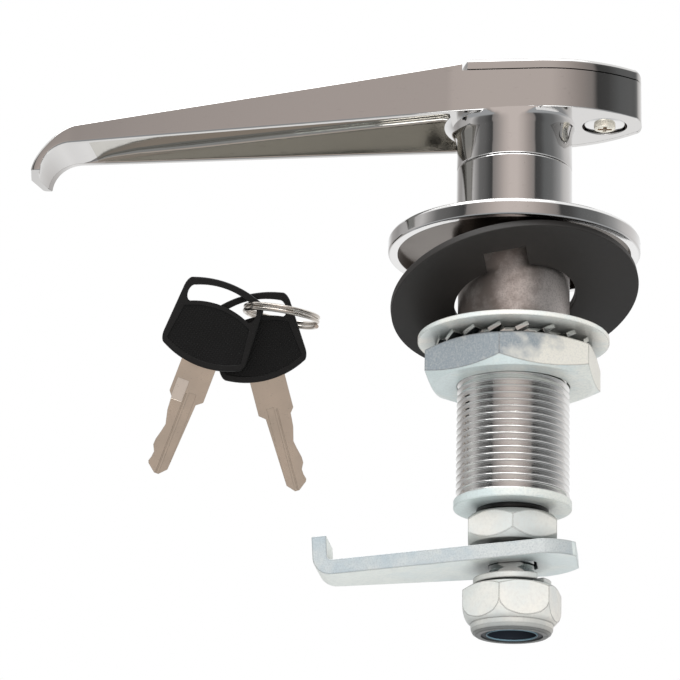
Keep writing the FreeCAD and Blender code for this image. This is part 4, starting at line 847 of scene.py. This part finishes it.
def makeCover():
    s = coverShape
    pivot = handleShape["pivot"]
    side = math.degrees(math.asin(s["half"] / s["reach"]))
    outline = arcPoints((pivot, 0), s["reach"], 180 - side, 180 + side, 40)
    places = [-4, 0, 4] + [4 + 20.2 * i / 26 for i in range(1, 27)] + [24.6, 24.95, 25.2, 25.34]
    lower = [(x, -headHalfWidth(x) + s["inset"]) for x in places]
    outline += lower + [(x, -y) for x, y in reversed(lower)]
    bm = slab(outline, s["low"], s["high"])
    for level, radius, segments in ((s["high"], s["edge"], 4), (s["low"], s["underEdge"], 2)):
        rim = [e for e in bm.edges if all(abs(v.co.z - level) < 1e-4 for v in e.verts)]
        bevelled(bm, rim, radius, segments)
    return joined(bm, rod(*s["boss"], pivot))


finishPiece("coverPlate", makeCover(), "dust_cover", "leverChrome", ["dust_cover"])


screwShape = {"seat": 27.55, "drop": 1.0, "radius": 2.15, "cross": 1.4, "crossHalf": 0.36, "crossDeep": 0.7,
              "turn": 0.12, "shank": 1.2, "washer": (1.35, 4.1), "washerTop": 29.3}


def makeCoverScrew():
    # a pan head with a cross recess, seen from below
    s = screwShape
    pivot, top, radius = handleShape["pivot"], s["seat"], s["radius"]
    low = top - s["drop"]
    head = spun([(0, low), (radius * 0.8, low + 0.03), (radius * 0.94, low + 0.16), (radius, low + 0.45),
                 (radius, top), (0, top)], steps=64, closed=False)
    reach, half = s["cross"], s["crossHalf"]
    floor = low + s["crossDeep"]
    cuts = [brick((-reach, -half, low - 1), (reach, half, floor)),
            brick((-half, -reach, low - 1), (half, reach, floor))]
    for cutter in cuts:
        bmesh.ops.rotate(cutter, verts=cutter.verts, cent=(0, 0, 0),
                         matrix=Matrix.Rotation(s["turn"], 3, "Z"))
    head = carve(head, cuts)
    # faces of the cross recess take the second finish, dark as painted shade
    for face in head.faces:
        x, y, z = face.calc_center_median()
        side = abs(face.normal.z) < 0.2 or z > floor - 0.1
        inside = math.hypot(x, y) < reach and z < floor + 0.01 and side
        face.material_index = 1 if inside else 0
    screw = joined(head, rod(s["shank"], top - 0.2, top + 6))
    for face in screw.faces:
        if face.calc_center_median().z > top - 0.15:
            face.material_index = 0
    moved(screw, pivot, 0, 0)
    return screw


def makeCoverWasher():
    s = screwShape
    (hole, rim), low, top = s["washer"], s["seat"], s["washerTop"]
    washer = spun([(hole, low), (rim, low), (rim, top), (hole, top)], steps=96, rounds={1: 0.25})
    moved(washer, handleShape["pivot"], 0, 0)
    return washer


finishPiece("coverScrew", makeCoverScrew(), "dust_cover", ["screwSteel", "screwCrossShade"],
            ["cover_screw"], edge=0.04)
finishPiece("coverWasher", makeCoverWasher(), "dust_cover", "handleChrome",
            ["cover_washer"])
print("cover made")


# housing and its thread

housingShape = {"bore": 8.55, "collar": 11.5, "top": 17.7, "flange": 24.95, "crown": 4.6, "rim": 3.3,
                "recess": (23.0, 1.5), "boss": (12.3, -2.0), "barrel": 11.0, "end": -50.1, "pitch": 1.345,
                "depth": 0.62, "spindleHole": 6.05, "smooth": -18.4,
                "lug": ((-3.9, 11.5, -2.0), (3.9, 16.5, 1.6))}


def makeHousingBody():
    s = housingShape
    bore, barrel, smooth, hole, end = (s[k] for k in ("bore", "barrel", "smooth", "spindleHole", "end"))
    recess, ceiling = s["recess"]
    boss, bossLow = s["boss"]
    core = barrel - s["depth"] + 0.02
    profile = [(bore, s["top"] - 2), (bore, s["top"]), (s["collar"], s["top"]), (s["collar"], s["crown"]),
               (s["flange"], s["rim"]), (s["flange"], 0), (recess, 0), (recess, ceiling), (boss, ceiling),
               (boss, bossLow), (barrel, bossLow), (barrel, smooth), (core, smooth - 0.5), (core, end),
               (hole, end), (hole, end + 3)]
    rounds = {2: 0.4, 3: 0.5, 4: 0.9, 5: 0.45, 6: 0.25, 9: 0.2}
    body = spun(profile, steps=220, rounds=rounds, closed=False, segments=4)
    for face in body.faces:
        middle = face.calc_center_median()
        out, z = middle.xy.length, middle.z
        # faces in the recess under the flange take the second, dark finish: painted shade
        hidden = boss - 0.1 < out < recess + 0.1 and bossLow + 0.1 < z < ceiling + 0.1
        # the smooth barrel takes the third finish, which carries painted side shade and painted shadow
        plain = bore + 1 < out < barrel + 0.1 and smooth < z < bossLow + 0.3
        face.material_index = 1 if hidden else 2 if plain else 0
    return body


def makeThread():
    # the outline of one turn, wound down the barrel and cut off square at both ends
    s = housingShape
    pitch, crest, root = s["pitch"], s["barrel"], s["barrel"] - s["depth"]
    bm = bmesh.new()
    start = -17.5
    profile = [(root, start), (root, start - 0.12), (crest - 0.08, start - 0.48), (crest, start - 0.56),
               (crest, start - 0.78), (crest - 0.08, start - 0.86), (root, start - pitch + 0.1),
               (root, start - pitch)]
    ring(bm, [(r, 0, z) for r, z in profile], closed=False)
    turns = int((start - s["end"]) / pitch) + 2
    steps = 72
    bmesh.ops.spin(bm, geom=bm.verts[:] + bm.edges[:], cent=(0, 0, 0), axis=(0, 0, 1),
                   angle=math.tau * turns, steps=steps * turns, dvec=(0, 0, -pitch / steps))
    bmesh.ops.remove_doubles(bm, verts=bm.verts, dist=1e-4)
    for level, up in ((-18.7, 1), (s["end"] + 0.02, -1)):
        bmesh.ops.bisect_plane(bm, geom=bm.verts[:] + bm.edges[:] + bm.faces[:], plane_co=(0, 0, level),
                               plane_no=(0, 0, up), clear_outer=True)
    bmesh.ops.recalc_face_normals(bm, faces=bm.faces)
    sample = max(bm.faces, key=lambda f: f.calc_center_median().xy.length)
    if sample.normal.xy.dot(sample.calc_center_median().xy) < 0:
        bmesh.ops.reverse_faces(bm, faces=bm.faces)
    return bm


finishPiece("housingBody", makeHousingBody(), "housing", ["housingChrome", "flangeRecessShade", "castBarrel"],
            ["housing"])
finishPiece("barrelThread", makeThread(), "housing", "threadChrome", shade=50)
finishPiece("turnLug", brick(*housingShape["lug"]), "housing", "castBarrel", edge=0.3)
print("housing made")


# gasket

gasketShape = {"outer": 24.6, "inner": 12.05, "thick": 1.5, "notchHalf": 4.15, "notchReach": 17.6,
               "notchTurn": 268.0, "centre": (0.2, -0.3, -8.75), "tilt": 18.5, "tiltTurn": 31.4}


def makeGasket():
    s = gasketShape
    half = s["thick"] / 2
    outline = [(s["inner"], -half), (s["outer"], -half), (s["outer"], half), (s["inner"], half)]
    disc = spun(outline, steps=180, rounds={0: 0.15, 1: 0.2, 2: 0.2, 3: 0.15})
    notch = brick((s["inner"] - 3, -s["notchHalf"], -5), (s["notchReach"], s["notchHalf"], 5))
    disc = carve(disc, [notch])
    spin = Matrix.Rotation(math.radians(s["notchTurn"] - s["tiltTurn"]), 4, "Z")
    bmesh.ops.transform(disc, matrix=spin, verts=disc.verts)
    turn = Matrix.Rotation(math.radians(s["tiltTurn"]), 4, "Z")
    tilt = Matrix.Rotation(math.radians(-s["tilt"]), 4, "X")
    return disc, Matrix.Translation(s["centre"]) @ turn @ tilt


gasketMesh, gasketPlace = makeGasket()
finishPiece("gasketDisc", gasketMesh, "housing", "gasketRubber", ["gasket"],
            place=gasketPlace)
print("gasket made")


# pieces whose solids keep their shape: finish, radius left on the corners

kept = {
    "flat_washer": ("zincPlate", 0.08), "star_washer": ("starSteel", 0.05), "stop_washer": ("zincStop", 0.2),
    # the retaining ring's near-black is black spring steel and painted shade in the gap above the jam nut
    "retaining_ring": ("blackSpringAndShade", 0.1), "cam": ("zincCam", 0.14), "spring_washer": ("zincBright", 0.1),
    "nylon_insert": ("nylonBlack", 0.15), "sleeve_pin": ("zincPlate", 0.1),
    "cylinder_sleeve": ("cylinderChrome", 0.1), "lock_plug": ("cylinderChrome", 0.1),
    "drive_pin": ("plainSteel", 0.1), "tail_crank": ("plainSteel", 0.1), "lock_bolt": ("plainSteel", 0.15),
}
for nodeName, (finish, edge) in kept.items():
    finishNode(nodeName, finish, edge)
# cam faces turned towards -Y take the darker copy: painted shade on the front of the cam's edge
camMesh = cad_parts["cam"].data
camMesh.materials.append(finishes["zincCamShadedFront"])
for face in camMesh.polygons:
    face.material_index = 1 if face.normal.y < -0.6 else 0
for index in range(1, 6):
    finishNode(f"wafer_{index}", "waferBrass", 0.06)
print("kept solids finished")


# spindle: its solid with grooves cut round the tail

spindleThread = {"top": -52.2, "bottom": -73.6, "pitch": 1.25, "root": 4.42, "crest": 4.93, "clear": 5.6}


def nodeShape(name):
    # a solid's own shape in millimetres, welded
    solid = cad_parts[name]
    bm = bmesh.new()
    bm.from_mesh(solid.data)
    bmesh.ops.transform(bm, matrix=solid.matrix_world, verts=bm.verts)
    bmesh.ops.scale(bm, verts=bm.verts, vec=(1 / mm, 1 / mm, 1 / mm))
    bmesh.ops.remove_doubles(bm, verts=bm.verts, dist=0.002)
    bmesh.ops.dissolve_limit(bm, angle_limit=math.radians(0.5), verts=bm.verts, edges=bm.edges)
    return bm


def makeSpindle():
    s = spindleThread
    turns = int((s["top"] - s["bottom"]) / s["pitch"])
    profile = [(s["clear"], s["top"]), (s["crest"], s["top"])]
    for turn in range(turns):
        high = s["top"] - turn * s["pitch"]
        profile += [(s["root"], high - s["pitch"] / 2), (s["crest"], high - s["pitch"])]
    profile += [(s["clear"], profile[-1][1])]
    return carve(nodeShape("spindle"), [spun(profile, steps=72)])


finishPiece("threadedSpindle", makeSpindle(), "handle", "threadZinc", ["spindle"], shade=28)
print("spindle made")


# nuts: a hexagon turned down at both faces; profile is the outside by height
nuts = {
    "mounting": {"body": "housing", "finish": ["zincNut", "zincStop"], "flats": 32.0, "turn": 25.4,
                 "bore": 11.04,
                 "profile": [(15.4, -20.4), (18.5, -21.65), (18.5, -25.8), (15.4, -27.1)]},
    "jam": {"body": "handle", "finish": "zincBright", "flats": 17.0, "turn": 34.0, "bore": 5.0,
            "profile": [(8.1, -53.3), (9.82, -54.9), (9.82, -57.5), (8.1, -59.1)]},
    "lock": {"body": "handle", "finish": "zincBright", "flats": 17.0, "turn": 19.4, "bore": 5.95,
             "profile": [(8.5, -67.4), (9.85, -68.3), (9.85, -71.0), (9.65, -72.2), (9.15, -73.3),
                         (8.45, -74.1), (7.95, -74.5), (7.85, -75.5), (7.5, -76.2), (6.9, -76.6)]},
}
for nutName, s in nuts.items():
    top, low = s["profile"][0][1], s["profile"][-1][1]
    hexagon = rod(s["flats"] / math.sqrt(3), low - 1, top + 1, steps=6)
    first = max(hexagon.verts, key=lambda v: v.co.x).co
    turn = Matrix.Rotation(math.radians(s["turn"]) - math.atan2(first.y, first.x), 4, "Z")
    bmesh.ops.transform(hexagon, matrix=turn, verts=hexagon.verts)
    shell = spun([(s["bore"], top)] + s["profile"] + [(s["bore"], low)], steps=144)
    nut = carve(hexagon, [shell], "INTERSECT")
    # downward faces take the second finish: on the mounting nut this is a lighter zinc, painted light on its
    # lower chamfer; the other nuts have one finish
    for face in nut.faces:
        face.material_index = 1 if face.normal.z < -0.3 else 0
    finishPiece(nutName + "Nut", nut, s["body"], s["finish"], [nutName + "_nut"], edge=0.05,
                limit=20, shade=20)

# a thin light-blue ring on the nylon's inner edge: a painted highlight on the nylon ring's lip
lip = {"radius": 4.84, "height": -76.35, "round": 0.15}
around = [math.tau * i / 8 for i in range(8)]
highlightLipMesh = spun([(lip["radius"] + lip["round"] * math.cos(a), lip["height"] + lip["round"] * math.sin(a))
                for a in around], steps=96)
finishPiece("nylonLip", highlightLipMesh, "handle", "nylonLip")
print("nuts made")


# keys on their ring

keyShape = {"corner": (-55.6, 13.0, -5.5), "turn": 9.2, "lean": 17.0, "topHalf": 8.4, "half": 9.2,
            "shoulder": 6.6, "chin": 7.0, "crownRadius": 20.5, "chinRadius": 17.6, "thick": 2.8,
            "round": 1.8, "edge": 0.5, "slotHalf": 6.3, "slotLow": 2.25, "slotHigh": 3.5, "slotEnd": 1.05,
            "slotRadius": 15.5, "slotLift": 3.6, "fieldDeep": 0.18, "fieldInset": 1.25, "fieldLift": 2.65}
keyPlaces = {1: {"angle": -19.0, "grip": (4.7, 4.85), "depth": 0.9, "side": 1},
             2: {"angle": 16.5, "grip": (-0.8, 5.8), "depth": -2.2, "side": -1}}


def keyPlane():
    s = keyShape
    lean = Matrix.Rotation(math.radians(90 + s["lean"]), 4, "X")
    return Matrix.Translation(s["corner"]) @ Matrix.Rotation(math.radians(s["turn"]), 4, "Z") @ lean


def keyMatrix(k):
    own = Matrix.Translation((0, 0, k["depth"])) @ Matrix.Rotation(math.radians(k["angle"]), 4, "Z")
    return keyPlane() @ own @ Matrix.Translation((-k["grip"][0], -k["grip"][1], 0))


def bulged(start, end, radius, steps):
    # an arc from start to end that bulges to the right of its way
    a, b = Vector(start), Vector(end)
    chord = b - a
    across = Vector((-chord.y, chord.x)).normalized()
    centre = (a + b) / 2 + across * math.sqrt(radius ** 2 - chord.length ** 2 / 4)
    first = a - centre
    sweep = first.angle_signed(b - centre)
    return [tuple(centre + Matrix.Rotation(-sweep * i / steps, 2) @ first) for i in range(steps + 1)]


def keyOutline(inset=0.0):
    s = keyShape
    half, topHalf = s["half"] - inset, s["topHalf"] - inset
    chin, shoulder = -s["chin"] + inset * 0.6, s["shoulder"] - inset * 0.6
    low = bulged((-half, chin), (half, chin), s["chinRadius"] - inset, 20)
    return low + bulged((topHalf, shoulder), (-topHalf, shoulder), s["crownRadius"] - inset, 20)


def roundedSlab(points, low, high, radius):
    bm = slab(points, low, high)
    upright = [e for e in bm.edges if abs(e.verts[0].co.z - e.verts[1].co.z) > 0.1
               and e.calc_face_angle(0) > math.radians(25)]
    bevelled(bm, upright, radius, 6)
    return bm


def slotArc(places, lift):
    # the curve that the slot and the field's top edge follow
    radius = keyShape["slotRadius"]
    return [(x, lift - radius + math.sqrt(radius ** 2 - x * x)) for x in places]


def makeKeyHead():
    # a moulded bow with a slot for the ring and a sunken field on both sides
    s = keyShape
    half, reach, deep = s["thick"] / 2, s["slotHalf"], s["fieldDeep"]
    bow = roundedSlab(keyOutline(), -half, half, s["round"])
    level = [e for e in bow.edges if len({round(v.co.z, 3) for v in e.verts}) == 1]
    rims = [e for e in level if e.calc_face_angle(0) > 1]
    bevelled(bow, rims, s["edge"])
    low = slotArc([-reach + 2 * reach * i / 16 for i in range(17)], s["slotLift"])
    high = [(x, y + s["slotHigh"]) for x, y in low]
    middle, tall = s["slotLow"] + s["slotHigh"] / 2, s["slotHigh"] / 2
    rightEnd = [(reach + s["slotEnd"] * math.sin(math.pi * i / 8), middle - tall * math.cos(math.pi * i / 8))
                for i in range(1, 8)]
    leftEnd = [(-x, y) for x, y in reversed(rightEnd)]
    cutters = [slab(low + rightEnd + high[::-1] + leftEnd, -4, 4)]
    field = [p for p in keyOutline(s["fieldInset"]) if p[1] < 0]
    field += slotArc([7.0 - i for i in range(15)], s["fieldLift"])
    for side in (1, -1):
        cutters.append(slab(field, side * half - deep, side * half + deep))
    head = carve(bow, cutters)
    for face in head.faces:
        sunk = abs(abs(face.calc_center_median().z) - half + deep) < 0.03
        face.material_index = 1 if sunk and abs(face.normal.z) > 0.9 else 0
    return head


bladeShape = {"cuts": [(17.2, 0.0), (20.0, 0.2), (22.9, 0.9), (24.4, 0.6), (26.4, 0.1), (27.6, 0.05),
                       (28.9, 0.7), (30.0, 0.6), (31.0, 0.3)],
              "half": 2.85, "back": 2.4, "shoulder": 3.65, "shoulderTop": 9.0, "shoulderEnd": 16.2,
              "reach": 32.9, "stem": (2.2, 4.6), "thick": 2.0, "grooveDeep": 0.32,
              # across the blade: middle, half width, upper end of each groove
              "grooves": [(1.0, 0.75, -15.2), (-0.3, 0.12, -15.6)],
              "milled": (-3.0, -0.55, -17.6, -13.1, 0.14)}


def makeKeyBlade(side):
    s = bladeShape
    half, reach, back, shoulder = s["thick"] / 2, s["reach"], s["back"], s["shoulder"]
    stemHalf, stemTop = s["stem"]
    left = [(-stemHalf, -stemTop - 0.1), (-stemHalf, -s["shoulderTop"]), (-shoulder, -s["shoulderTop"]),
            (-shoulder, -s["shoulderEnd"])]
    cuts = [(-s["half"] + depth, -down) for down, depth in s["cuts"]]
    tip = [(-s["half"] + 0.5, -reach + 1.4), (-0.6, -reach), (0.3, -reach), (back - 0.7, -reach + 1.5),
           (back, -s["shoulderEnd"] - 1)]
    blade = slab(left + cuts + tip + [(-x, y) for x, y in reversed(left)], -half, half)
    cutters = []
    for face in (1, -1):
        for x, width, top in s["grooves"]:
            cutters.append(brick((x * face - width, -reach - 1, face * half - s["grooveDeep"]),
                                 (x * face + width, top, face * half + 0.4)))
    left, right, low, high, deep = s["milled"]
    if side > 0:
        cutters.append(brick((left, low, half - deep), (right, high, half + 0.4)))
    blade = carve(blade, cutters)
    for face in blade.faces:
        sunk = abs(face.calc_center_median().z - half + deep) < 0.02
        face.material_index = 1 if sunk and face.normal.z > 0.9 else 0
    if side < 0:
        bmesh.ops.scale(blade, verts=blade.verts, vec=(-1, 1, 1))
        bmesh.ops.recalc_face_normals(blade, faces=blade.faces)
    return blade


for index, k in keyPlaces.items():
    matrix = keyMatrix(k)
    finishPiece(f"keyHead{index}", makeKeyHead(), f"key_{index}", ["keyPlastic", "keyField"],
                [f"key_{index}_head"], edge=0.12, limit=50, place=matrix)
    finishPiece(f"keyBlade{index}", makeKeyBlade(k["side"]), f"key_{index}", ["keyNickel", "keyMilled"],
                [f"key_{index}_blade"], edge=0.08, limit=30, place=matrix)

ringShape = {"radius": 7.5, "wire": 0.42, "gap": 0.04, "lean": 7.0, "roll": -9.0, "steps": 144}


def makeSplitRing():
    # a short run of wire wound twice round
    s = ringShape
    pitch = 2 * s["wire"] + s["gap"]
    bm = bmesh.new()
    section = bmesh.ops.create_circle(bm, cap_ends=True, segments=14, radius=s["wire"])
    bmesh.ops.rotate(bm, verts=section["verts"], cent=(0, 0, 0), matrix=Matrix.Rotation(math.pi / 2, 3, "X"))
    bmesh.ops.translate(bm, verts=section["verts"], vec=(s["radius"], 0, 0))
    bmesh.ops.spin(bm, geom=bm.faces[:], cent=(0, 0, 0), axis=(0, 0, 1), angle=math.tau * 2,
                   steps=s["steps"], dvec=(0, 0, 2 * pitch / s["steps"]))
    bmesh.ops.recalc_face_normals(bm, faces=bm.faces)
    lean = Matrix.Rotation(math.radians(90 - s["lean"]), 4, "X")
    roll = Matrix.Rotation(math.radians(s["roll"]), 4, "Z")
    place = keyPlane() @ roll @ lean @ Matrix.Translation((s["radius"], 0, -pitch))
    return bm, place


ringMesh, ringPlace = makeSplitRing()
finishPiece("splitRing", ringMesh, "housing", "nickelWire", ["split_ring"], place=ringPlace)
print("keys made")
